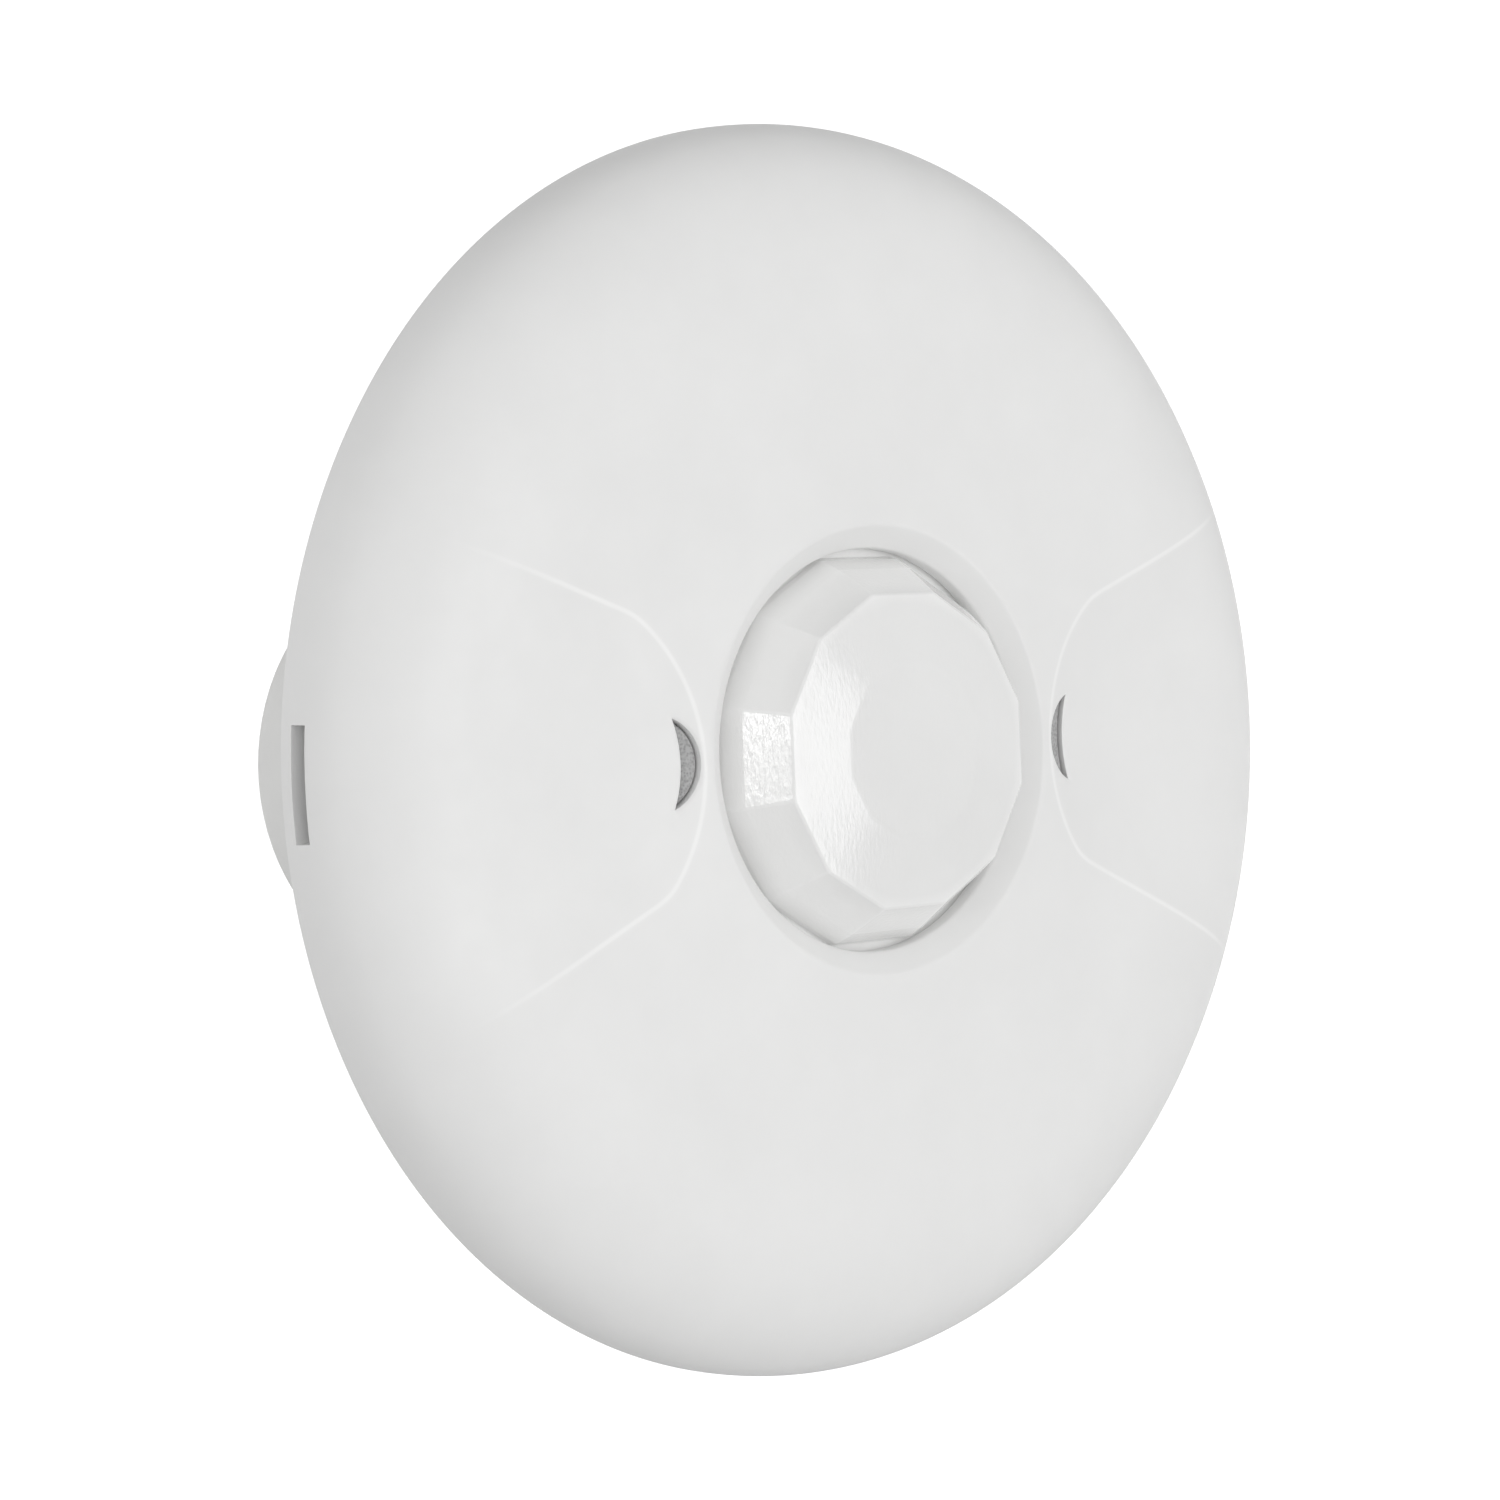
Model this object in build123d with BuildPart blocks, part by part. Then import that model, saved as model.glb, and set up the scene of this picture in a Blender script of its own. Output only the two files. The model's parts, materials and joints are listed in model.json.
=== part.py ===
from build123d import *
from math import cos, radians, sin
import os

# Ceiling motion sensor. Millimetres, +Z up. The ceiling plane is y = 0 and the sensor looks
# along -Y, so a "height" below is the distance in front of the ceiling plane, and the rear
# housing has negative heights. The two sound slots lie on the X axis.

# Front cover
COVER_R = 57.0  # widest radius of the cover
COVER_BACK_R = 53.4  # outer radius of the cover's back edge
COVER_BACK_HEIGHT = 0.7
WAIST_HEIGHT = 5.55  # height of the widest radius
FACE_HEIGHT = 16.87  # height of the flat face where the rounded rim starts
RIM_START_R = 35.0
RIM_POWER_R = 3.03  # the rim is a superellipse with these two powers
RIM_POWER_HEIGHT = 2.19
CROWN_R = 38.0  # the face rises inwards from here to the bevel
CROWN_RISE = 0.77
CROWN_RADII = (24.0, 28.0, 31.5)
COVER_INNER_R = 54.8
COVER_INNER_BACK_R = 51.3
COVER_INNER_HEIGHT = 14.65  # underside of the face
BEVEL_R = 20.06  # outer edge of the bevel round the lens opening
OPENING_R = 18.1
OPENING_HEIGHT = 16.0  # height of the bevel's inner edge
CLEAR = 1.0  # how far a cutter passes the face it cuts

# Scoops, one each side of the lens: an arc by the lens, then two straight arms
SCOOP_VERTEX_X = 21.1
SCOOP_HIGH = (28.0, 13.0)
SCOOP_LOW = (25.3, -11.4)
SCOOP_HIGH_ARM = 20.5  # degrees from X
SCOOP_LOW_ARM = -25.0
SCOOP_ARM_LENGTH = 45.0
SCOOP_NEAR_HEIGHT = 17.13  # floor height at the vertex
SCOOP_SLOPE = 0.06  # fall of the floor per mm outwards
SCOOP_CUT = 8.0

# Sound slots: crescents in the scoop floors, each filled by a foam screen
SLOT_TIP = (24.05, 3.95)
SLOT_NEAR_X = 21.4
SLOT_FAR_X = 23.3
SCREEN_GAP = 0.12  # between a slot's wall and the screen
SCREEN_FLANGE_R = 4.9
SCREEN_FLANGE_THICK = 0.65
SCREEN_TOP = 16.6

# Cover hooks, the base's catches, ribs and the pry slot
HOOK_COUNT = 4
HOOK_START_ANGLE = 45.0
HOOK_WIDTH = 10.0
HOOK_INNER_R = 51.4
HOOK_OUTER_R = 53.2
HOOK_TIP = 2.3  # height of the hook's free end
HOOK_ROOT = 12.0
BARB_INNER_R = 50.75
BARB_THICK = 1.2
CATCH_OUTER_R = 50.6  # leaves the barb a straight way past
CATCH_BACK = 3.8
CATCH_SIZE = (1.5, 1.2)  # across the radius, and along the height
RIB_COUNT = 8
RIB_START_ANGLE = 22.5
RIB_MIDDLE_R = 43.0
RIB_SIZE = (14.0, 1.2)
RIB_BACK = 12.4
RIB_FRONT = 15.0
PRY_SLOT_WIDTH = 9.5
PRY_SLOT_MIDDLE_R = 56.0
PRY_SLOT_LENGTH = 6.0
PRY_SLOT_BACK = 6.9
PRY_SLOT_FRONT = 8.4

# Base
PLATE_R = 50.9
PLATE_THICK = 2.0
RIM_WALL_OUTER_R = 49.6
RIM_WALL_INNER_R = 48.0
RIM_WALL_TOP = 5.6
POD_LENGTH = 86.0  # rear housing, round-ended along X
POD_HEIGHT = 38.0
POD_DEPTH = 19.0
POD_WALL = 2.0
POD_ROUND = 1.2
MOUNT_SLOT_SPACING = 86.1
MOUNT_SLOT_LENGTH = 8.0
MOUNT_SLOT_WIDTH = 4.5
WIRE_WINDOW = (28.0, 12.0)
WIRE_WINDOW_ROUND = 1.5
STANDOFF_X = 36.0
STANDOFF_Z = 18.0
STANDOFF_R = 3.2
PILOT_R = 1.0
PILOT_FLOOR = 0.8

# Circuit board and its screws
PCB_R = 46.0
PCB_HALF_HEIGHT = 36.0
PCB_BACK = 5.0  # height of its rear face
PCB_FRONT = 6.6
PCB_SCREW_HOLE_R = 1.35
SCREW_HEAD_R = 2.4
SCREW_HEAD_THICK = 1.6
SCREW_HEAD_ROUND = 0.6
SCREW_SHANK_R = 0.95
SCREW_TIP = 1.4
SCREW_RECESS = (2.6, 0.5)
SCREW_RECESS_DEPTH = 0.8
LEG_TIP = 3.4  # height that soldered legs reach behind the board
LEG_FLUSH = 6.5  # legs of the rear parts end just inside the board
LEG_R = 0.3
THIN_LEG_R = 0.25
LEG_HOLE_R = 0.45
WIDE_LEG_HOLE_R = 0.6

# Lens: circumradius and height of each facet ring, from the flange outwards
LENS_SIDES = 12
LENS_TURN = 15.0
LENS_RINGS = [(17.85, 14.0), (17.75, 15.2), (16.8, 17.0), (14.4, 20.85), (8.0, 21.7)]
LENS_WALL = 0.8
LENS_WALL_R = 0.9  # the wall measured along the radius
LENS_FLANGE_R = 19.4
LENS_FLANGE_THICK = 1.2
LENS_SEAT_HEIGHT = 13.1

# Tower that holds the lens
TOWER_OUTER_R = 19.6
TOWER_INNER_R = 18.0
POST_COUNT = 3
POST_START_ANGLE = 90.0
POST_BACK = 10.0
POST_MIDDLE_R = 19.65
POST_SIZE = (1.3, 5.0)
POST_TIP_MIDDLE_R = 19.92
POST_TIP_SIZE = (0.76, 5.0)
POST_TIP_LENGTH = 1.1
PEG_COUNT = 4
PEG_START_ANGLE = 45.0
PEG_CENTRE_R = 18.8
PEG_R = 0.8
PEG_HOLE_R = 0.9
PEG_LENGTH = 2.4

# Heat-motion detector
DETECTOR_LEG_CIRCLE_R = 2.54
DETECTOR_LEG_ANGLES = (45, 135, 270)
DETECTOR_LEG_R = 0.22
DETECTOR_SPACER_R = 4.4
DETECTOR_SEAT = 8.6
DETECTOR_FLANGE_R = 4.6
DETECTOR_FLANGE_TOP = 9.2
DETECTOR_CAN_R = 4.1
DETECTOR_TOP = 12.8
DETECTOR_ROUND = 0.5
WINDOW_OPENING = (4.0, 3.2)
WINDOW_SIZE = (3.9, 3.1)
WINDOW_DEPTH = 0.5
WINDOW_THICK = 0.4

# Ultrasonic transducers
TRANSDUCER_X = 25.6
TRANSDUCER_R = 4.9
TRANSDUCER_TOP = 12.9
TRANSDUCER_PIN_Z = 2.5
CAN_BORE_R = 3.9
CAN_FLOOR = 9.0
MESH_RECESS_R = 4.6
MESH_R = 4.55
MESH_SEAT = 12.5
MESH_THICK = 0.3
BOOT_R = 5.6
BOOT_TOP = 9.6
BOOT_FLOOR = 0.4
BOOT_GAP = 0.05
GASKET_R = 5.8
GASKET_THICK = 0.8
CONE_PROFILE = [(0, 9), (3.4, 9), (3.4, 9.8), (0.9, 9.8), (0.9, 10.2), (3.0, 12.2), (0, 11.2)]

# Daylight sensor and lights
PHOTOCELL_Z = 10.5
PHOTOCELL_BACK = 8.4
PHOTOCELL_THICK = 2.0
PHOTOCELL_R = 2.55
PHOTOCELL_BLANK = (5.2, 4.3)
PHOTOCELL_ROUND = 0.3
PHOTOCELL_LEG_X = 1.7
LED_PLACES = {"red_led": (-3.2, -10.5), "green_led": (3.2, -10.5)}
LED_LEG_X = 1.27
LED_R = 1.5
LED_COLLAR_R = 1.9
LED_COLLAR_THICK = 1.0
LED_SHOULDER = 9.5
LED_TOP = 11.0

# Setting dials, each in a trimmer body
DIALS = {
    "time": (-24.0, 26.0),
    "heat_range": (-9.0, 29.0),
    "sound_range": (9.0, 29.0),
    "light_level": (24.0, 26.0),
}
DIAL_R = 2.68
DIAL_BACK = 9.1
DIAL_THICK = 2.3
DIAL_EDGE = 0.25
DIAL_STEM_R = 0.7
DIAL_STEM_TIP = 7.6
DIAL_SLOT_FLOOR = 10.5
DIAL_SLOT = (0.7, 4.0)
DIAL_CROSS = (2.4, 0.7)
DIAL_ARROW_Z = 1.5
DIAL_ARROW_BASE = 1.9
DIAL_ARROW_SIDE = 1.5
TRIMMER_SIDE = 6.8
TRIMMER_CORNER = 0.4
TRIMMER_TOP = 11.0
TRIMMER_LEG_STEPS = [(-2.5, -2.5), (2.5, -2.5), (0, 2.5)]
POCKET_R = 2.75
POCKET_FLOOR = 9.0
STEM_HOLE_R = 0.77
STEM_HOLE_FLOOR = 7.4

# Banks of slide switches
BANKS = {"left": -12.0, "right": 12.0}
BANK_Z = -28.0
BANK_SIZE = (11.7, 9.8)
BANK_TOP = 11.0
BANK_EDGE = 0.3
BANK_LEG_Z = 3.81
SWITCH_PITCH = 2.54
SWITCH_COUNT = 4
WELL_SIZE = (1.3, 4.4)
WELL_FLOOR = 8.6
SLIDER_SIZE = (1.1, 2.2)
SLIDER_START_Z = -1.0  # from the middle of its well
SLIDER_GAP = 0.1
SLIDER_TOP = 11.6
SLIDER_EDGE = 0.15

# Chips and chip parts
CHIP_GAP = 0.1
CHIP_THICK = 1.4
CHIP_LEG_THICK = 0.2
CHIP_LEG_REACH = 1.0
DOT_DEPTH = 0.2
MCU_PLACE = (-29.0, -22.0)
MCU_SIDE = 7.0
MCU_EDGE = 0.25
MCU_DOT = (0.4, 2.5)  # radius, and distance from both middle lines
MCU_LEG_COUNT = 7
MCU_LEG_PITCH = 0.8
MCU_LEG_WIDTH = 0.35
# Amplifier chips: x, z, length along X, width along Z, legs on each side
AMPLIFIERS = [(28.5, -23.0, 8.7, 3.9, 7), (36.5, -4.0, 5.0, 3.9, 4)]
AMPLIFIER_DOT = (0.35, 0.9)  # radius, and distance from both edges
AMPLIFIER_LEG_PITCH = 1.27
AMPLIFIER_LEG_WIDTH = 0.42
# Centres of rows of chip parts, each with its count along X
RESISTOR_ROWS = [(-12, 22.6, 4), (12, 22.6, 4), (33, 10.5, 3), (-33, 10.5, 3), (0, -34.3, 5)]
CAPACITOR_ROWS = [(0, 22.6, 3), (-33, -13.8, 3), (30, -29.5, 4), (36.5, 3.5, 2)]
ROW_PITCH = 3.2
CHIP_PART_SIZE = (2.0, 1.25)
CHIP_PART_THICK = 0.6
CRYSTAL_PLACE = (-38.0, -2.0)
CRYSTAL_FLANGE = (11.0, 4.7)
CRYSTAL_FLANGE_THICK = 0.5
CRYSTAL_CAN = (10.2, 3.9)
CRYSTAL_CAN_THICK = 3.0

# Parts in the rear housing
RELAY_X = -13.5
RELAY_SIZE = (19.0, 15.4)
RELAY_CORNER = 0.6
RELAY_DEPTH = 15.5
RELAY_ROUND = 0.5
RELAY_LEG_STEPS = [(-7.6, 0), (-3.6, 6), (-3.6, -6), (7.2, 6), (7.2, -6)]
RELAY_LEG_SIZE = (0.5, 0.8)
# Electrolytic cans: x, z, radius, length
ELECTROLYTICS = [(-31.0, 5.5, 4.0, 12.5), (-31.0, -5.5, 4.0, 12.5), (7.0, 0.0, 3.15, 9.0)]
ELECTROLYTIC_ROUND = 0.6
TERMINAL_X = 24.0
POLE_COUNT = 5
POLE_PITCH = 5.08
TERMINAL_REAR = -6.0  # height of the terminal block's rear face
TERMINAL_WIDTH = 10.4  # along Z
SCREW_WELL_R = 1.9
SCREW_WELL_DEPTH = 3.0
CAGE_SPACE = (3.8, 7.4)
CAGE_SPACE_Z = -1.6
CAGE_SPACE_DEPTH = 5.0
TERMINAL_HEAD_R = 1.8
TERMINAL_HEAD_START = 0.6
TERMINAL_HEAD_THICK = 1.6
TERMINAL_SHANK_R = 1.2
TERMINAL_SHANK_LENGTH = 1.9
TERMINAL_SLOT = (4.0, 0.6)
TERMINAL_SLOT_DEPTH = 1.3
CLAMP_START = 4.2  # from the terminal block's rear face
CLAMP_SIZE = (3.6, 5.6)
CLAMP_DEPTH = 3.7
CLAMP_Z = -0.9
CLAMP_WALL = 0.7
CLAMP_MOUTH = (2.6, 8.0)
CLAMP_LEG_START = 7.8
CLAMP_LEG_R = 0.5

# Places that follow from the values above
HOOK_MIDDLE_R = (HOOK_INNER_R + HOOK_OUTER_R) / 2
BARB_MIDDLE_R = (BARB_INNER_R + HOOK_OUTER_R) / 2
CATCH_MIDDLE_R = CATCH_OUTER_R - CATCH_SIZE[0] / 2
TERMINAL_LENGTH = POLE_COUNT * POLE_PITCH
standoff_points = [(x, z) for x in (-STANDOFF_X, STANDOFF_X) for z in (-STANDOFF_Z, STANDOFF_Z)]
pole_points = [(TERMINAL_X + (i - (POLE_COUNT - 1) / 2) * POLE_PITCH, 0) for i in range(POLE_COUNT)]
switch_steps = [(i - (SWITCH_COUNT - 1) / 2) * SWITCH_PITCH for i in range(SWITCH_COUNT)]

os.makedirs("parts", exist_ok=True)


def face_plane(height):
    """A plane parallel to the ceiling at a height, looking out of the sensor."""
    return Plane.XZ.offset(height)


def profile_plane(x=0.0, z=0.0):
    """A plane whose local x is a radius and local y a height, about an axis along Y."""
    return Plane(origin=(x, 0, z), x_dir=(1, 0, 0), z_dir=(0, 0, -1))


def save(piece, name):
    """Label a finished piece and write it as a STEP file."""
    piece.part.label = name
    export_step(piece.part, f"parts/{name}.step")


def shifted(centre, steps):
    """Points at these steps from a centre."""
    return [(centre[0] + dx, centre[1] + dz) for dx, dz in steps]


def crown(radius):
    """Rise of the cover's face at a radius."""
    return CROWN_RISE * max(0.0, (CROWN_R - radius) / (CROWN_R - BEVEL_R)) ** 2


def rim_points(reach, rise):
    """Points from the flat face down the rounded rim to its widest radius."""
    points = []
    for angle in range(90, -1, -10):
        across = max(0.0, cos(radians(angle))) ** (2 / RIM_POWER_R)
        up = sin(radians(angle)) ** (2 / RIM_POWER_HEIGHT)
        points.append((RIM_START_R + reach * across, WAIST_HEIGHT + rise * up))
    return points


def legs(points, radius, top, tip=LEG_TIP):
    """Round soldered legs from a height down through the circuit board."""
    with BuildPart() as group:
        with BuildSketch(face_plane(tip)):
            with Locations(*points):
                Circle(radius)
        extrude(amount=top - tip)
    return group


def chip_rows(rows):
    """Rows of small chip parts soldered on the front of the board."""
    with BuildPart() as group:
        with BuildSketch(face_plane(PCB_FRONT)):
            for row_x, row_z, count in rows:
                with Locations((row_x, row_z)):
                    with GridLocations(ROW_PITCH, 1, count, 1):
                        Rectangle(*CHIP_PART_SIZE)
        extrude(amount=CHIP_PART_THICK)
    return group


# ---------------------------------------------------------------- front cover
outer_rim = rim_points(COVER_R - RIM_START_R, FACE_HEIGHT - WAIST_HEIGHT)
inner_rim = rim_points(COVER_INNER_R - RIM_START_R, COVER_INNER_HEIGHT - WAIST_HEIGHT)
bevel_top = (BEVEL_R, FACE_HEIGHT + CROWN_RISE)
crown_points = [bevel_top] + [(r, FACE_HEIGHT + crown(r)) for r in CROWN_RADII]
face_points = crown_points + [(r, h + crown(r)) for r, h in outer_rim]
crown_slope = -2 * CROWN_RISE / (CROWN_R - BEVEL_R)
waist = (COVER_R, WAIST_HEIGHT)
back_edge = (COVER_BACK_R, COVER_BACK_HEIGHT)
inner_waist = (COVER_INNER_R, WAIST_HEIGHT)
inner_back_edge = (COVER_INNER_BACK_R, COVER_BACK_HEIGHT)

with BuildPart() as cover_blank:
    # The cover's outer shape as one solid, used to trim what is added inside.
    with BuildSketch(profile_plane()):
        with BuildLine():
            Spline(*face_points, tangents=[(1, crown_slope), (0, -1)])
            Polyline(waist, back_edge, (0, COVER_BACK_HEIGHT), (0, bevel_top[1]), bevel_top)
        make_face()
    revolve(axis=Axis.Y)

with BuildPart() as scoop_cutter:
    scoop_plane = Plane(
        origin=(0, -SCOOP_NEAR_HEIGHT - SCOOP_SLOPE * SCOOP_VERTEX_X, 0),
        x_dir=(1, SCOOP_SLOPE, 0),
        z_dir=(SCOOP_SLOPE, -1, 0),
    )
    with BuildSketch(scoop_plane):
        with BuildLine():
            ThreePointArc(SCOOP_LOW, (SCOOP_VERTEX_X, 0), SCOOP_HIGH)
            high_arm = PolarLine(SCOOP_HIGH, SCOOP_ARM_LENGTH, SCOOP_HIGH_ARM)
            low_arm = PolarLine(SCOOP_LOW, SCOOP_ARM_LENGTH, SCOOP_LOW_ARM)
            Line(high_arm @ 1, low_arm @ 1)
        make_face()
    extrude(amount=SCOOP_CUT)
    mirror(about=Plane.YZ)

with BuildPart() as front_cover:
    add(cover_blank.part)
    # Hollow inside, up to the underside of the face.
    with BuildSketch(profile_plane()):
        with BuildLine():
            Spline(*inner_rim, tangents=[(1, 0), (0, -1)])
            Polyline(
                inner_waist,
                inner_back_edge,
                (COVER_INNER_BACK_R, 0),
                (0, 0),
                (0, COVER_INNER_HEIGHT),
                (RIM_START_R, COVER_INNER_HEIGHT),
            )
        make_face()
    revolve(axis=Axis.Y, mode=Mode.SUBTRACT)
    # Snap hooks with their barbs, and stiffening ribs.
    with BuildSketch(face_plane(HOOK_TIP)):
        with PolarLocations(HOOK_MIDDLE_R, HOOK_COUNT, start_angle=HOOK_START_ANGLE):
            Rectangle(HOOK_OUTER_R - HOOK_INNER_R, HOOK_WIDTH)
    extrude(amount=HOOK_ROOT - HOOK_TIP)
    with BuildSketch(face_plane(HOOK_TIP)):
        with PolarLocations(BARB_MIDDLE_R, HOOK_COUNT, start_angle=HOOK_START_ANGLE):
            Rectangle(HOOK_OUTER_R - BARB_INNER_R, HOOK_WIDTH)
    extrude(amount=BARB_THICK)
    with BuildSketch(face_plane(RIB_BACK)):
        with PolarLocations(RIB_MIDDLE_R, RIB_COUNT, start_angle=RIB_START_ANGLE):
            Rectangle(*RIB_SIZE)
    extrude(amount=RIB_FRONT - RIB_BACK)
    # Lens opening with its bevel.
    with BuildSketch(profile_plane()):
        Polygon(
            (0, COVER_INNER_HEIGHT - CLEAR),
            (OPENING_R, COVER_INNER_HEIGHT - CLEAR),
            (OPENING_R, OPENING_HEIGHT),
            bevel_top,
            (BEVEL_R, bevel_top[1] + CLEAR),
            (0, bevel_top[1] + CLEAR),
            align=None,
        )
    revolve(axis=Axis.Y, mode=Mode.SUBTRACT)
    add(scoop_cutter.part, mode=Mode.SUBTRACT)
    # Sound slots.
    with BuildSketch(face_plane(COVER_INNER_HEIGHT - CLEAR)):
        with BuildLine():
            ThreePointArc(SLOT_TIP, (SLOT_NEAR_X, 0), (SLOT_TIP[0], -SLOT_TIP[1]))
            ThreePointArc((SLOT_TIP[0], -SLOT_TIP[1]), (SLOT_FAR_X, 0), SLOT_TIP)
        make_face()
        mirror(about=Plane.YZ)
    extrude(amount=bevel_top[1] + 2 * CLEAR - COVER_INNER_HEIGHT, mode=Mode.SUBTRACT)
    # Pry slot through the side wall, just in front of the widest radius.
    with BuildSketch(face_plane(PRY_SLOT_BACK)):
        with Locations((-PRY_SLOT_MIDDLE_R, 0)):
            Rectangle(PRY_SLOT_LENGTH, PRY_SLOT_WIDTH)
    extrude(amount=PRY_SLOT_FRONT - PRY_SLOT_BACK, mode=Mode.SUBTRACT)
save(front_cover, "front_cover")

for side_name, side in (("left", -1), ("right", 1)):
    tip_high = (side * SLOT_TIP[0], SLOT_TIP[1])
    tip_low = (side * SLOT_TIP[0], -SLOT_TIP[1])
    with BuildPart() as screen:
        # A round flange under the cover, with a crescent that fills the slot.
        with BuildSketch(face_plane(COVER_INNER_HEIGHT)):
            with Locations((side * TRANSDUCER_X, 0)):
                Circle(SCREEN_FLANGE_R)
        extrude(amount=-SCREEN_FLANGE_THICK)
        with BuildSketch(face_plane(COVER_INNER_HEIGHT)):
            with BuildLine():
                ThreePointArc(tip_high, (side * SLOT_NEAR_X, 0), tip_low)
                ThreePointArc(tip_low, (side * SLOT_FAR_X, 0), tip_high)
            make_face()
            offset(amount=-SCREEN_GAP, mode=Mode.REPLACE)
        extrude(amount=SCREEN_TOP - COVER_INNER_HEIGHT)
    save(screen, f"{side_name}_sound_screen")

# ---------------------------------------------------------------- base
with BuildPart() as base:
    with BuildSketch(face_plane(-POD_DEPTH)):
        SlotOverall(POD_LENGTH, POD_HEIGHT)
    extrude(amount=POD_DEPTH + PLATE_THICK)
    fillet(base.faces().sort_by(Axis.Y)[-1].edges(), POD_ROUND)
    with BuildSketch(face_plane(0)):
        Circle(PLATE_R)
    extrude(amount=PLATE_THICK)
    with BuildSketch(face_plane(PLATE_THICK)):
        Circle(RIM_WALL_OUTER_R)
        Circle(RIM_WALL_INNER_R, mode=Mode.SUBTRACT)
    extrude(amount=RIM_WALL_TOP - PLATE_THICK)
    with BuildSketch(face_plane(CATCH_BACK)):
        with PolarLocations(CATCH_MIDDLE_R, HOOK_COUNT, start_angle=HOOK_START_ANGLE):
            Rectangle(CATCH_SIZE[0], HOOK_WIDTH)
    extrude(amount=CATCH_SIZE[1])
    with BuildSketch(face_plane(PLATE_THICK)):
        with Locations(*standoff_points):
            Circle(STANDOFF_R)
    extrude(amount=PCB_BACK - PLATE_THICK)
    # Inside of the rear housing.
    with BuildSketch(face_plane(POD_WALL - POD_DEPTH)):
        SlotOverall(POD_LENGTH - 2 * POD_WALL, POD_HEIGHT - 2 * POD_WALL)
    extrude(amount=POD_DEPTH - POD_WALL + RIM_WALL_TOP, mode=Mode.SUBTRACT)
    # Wire window in the rear wall.
    with BuildSketch(face_plane(-POD_DEPTH - CLEAR)):
        with Locations((TERMINAL_X, 0)):
            RectangleRounded(*WIRE_WINDOW, WIRE_WINDOW_ROUND)
    extrude(amount=POD_WALL + 2 * CLEAR, mode=Mode.SUBTRACT)
    # Slotted holes for the ceiling box screws.
    with BuildSketch(face_plane(-CLEAR)):
        with Locations((0, MOUNT_SLOT_SPACING / 2), (0, -MOUNT_SLOT_SPACING / 2)):
            SlotOverall(MOUNT_SLOT_LENGTH, MOUNT_SLOT_WIDTH, rotation=90)
    extrude(amount=PLATE_THICK + 2 * CLEAR, mode=Mode.SUBTRACT)
    # Pilot holes in the standoffs.
    with BuildSketch(face_plane(PILOT_FLOOR)):
        with Locations(*standoff_points):
            Circle(PILOT_R)
    extrude(amount=PCB_BACK + CLEAR - PILOT_FLOOR, mode=Mode.SUBTRACT)
save(base, "base")

# ---------------------------------------------------------------- lens and tower
inner_rings = [(LENS_RINGS[0][0] - LENS_WALL_R, LENS_SEAT_HEIGHT)]
inner_rings += [(radius - LENS_WALL_R, height - LENS_WALL) for radius, height in LENS_RINGS[1:]]

with BuildPart() as lens_hollow:
    for radius, height in inner_rings:
        with BuildSketch(face_plane(height)):
            RegularPolygon(radius, LENS_SIDES, rotation=LENS_TURN)
    loft(ruled=True)

with BuildPart() as lens:
    for radius, height in LENS_RINGS:
        with BuildSketch(face_plane(height)):
            RegularPolygon(radius, LENS_SIDES, rotation=LENS_TURN)
    loft(ruled=True)
    with BuildSketch(face_plane(LENS_SEAT_HEIGHT)):
        Circle(LENS_FLANGE_R)
    extrude(amount=LENS_FLANGE_THICK)
    add(lens_hollow.part, mode=Mode.SUBTRACT)
save(lens, "lens")

with BuildPart() as lens_holder:
    with BuildSketch(face_plane(PCB_FRONT)):
        Circle(TOWER_OUTER_R)
        Circle(TOWER_INNER_R, mode=Mode.SUBTRACT)
    extrude(amount=LENS_SEAT_HEIGHT - PCB_FRONT)
    # Three posts keep the lens flange centred.
    with BuildSketch(face_plane(POST_BACK)):
        with PolarLocations(POST_MIDDLE_R, POST_COUNT, start_angle=POST_START_ANGLE):
            Rectangle(*POST_SIZE)
    extrude(amount=LENS_SEAT_HEIGHT - POST_BACK)
    with BuildSketch(face_plane(LENS_SEAT_HEIGHT)):
        with PolarLocations(POST_TIP_MIDDLE_R, POST_COUNT, start_angle=POST_START_ANGLE):
            Rectangle(*POST_TIP_SIZE)
    extrude(amount=POST_TIP_LENGTH)
    # Four pegs go through the circuit board.
    with BuildSketch(face_plane(PCB_FRONT)):
        with PolarLocations(PEG_CENTRE_R, PEG_COUNT, start_angle=PEG_START_ANGLE):
            Circle(PEG_R)
    extrude(amount=-PEG_LENGTH)
save(lens_holder, "lens_holder")

# ---------------------------------------------------------------- circuit board
bank_leg_steps = [(step, z) for step in switch_steps for z in (-BANK_LEG_Z, BANK_LEG_Z)]
bank_legs = []
for bank_x in BANKS.values():
    bank_legs += shifted((bank_x, BANK_Z), bank_leg_steps)
transducer_legs = []
for transducer_x in (-TRANSDUCER_X, TRANSDUCER_X):
    transducer_legs += shifted((transducer_x, 0), [(0, -TRANSDUCER_PIN_Z), (0, TRANSDUCER_PIN_Z)])
detector_legs = []
for angle in DETECTOR_LEG_ANGLES:
    turn = radians(angle)
    detector_legs.append((DETECTOR_LEG_CIRCLE_R * cos(turn), DETECTOR_LEG_CIRCLE_R * sin(turn)))
photocell_legs = shifted((0, PHOTOCELL_Z), [(-PHOTOCELL_LEG_X, 0), (PHOTOCELL_LEG_X, 0)])
led_legs = []
for led_place in LED_PLACES.values():
    led_legs += shifted(led_place, [(-LED_LEG_X, 0), (LED_LEG_X, 0)])
trimmer_legs = []
for dial_place in DIALS.values():
    trimmer_legs += shifted(dial_place, TRIMMER_LEG_STEPS)
relay_legs = shifted((RELAY_X, 0), RELAY_LEG_STEPS)
front_legs = bank_legs + transducer_legs + detector_legs + photocell_legs + led_legs + trimmer_legs

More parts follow.
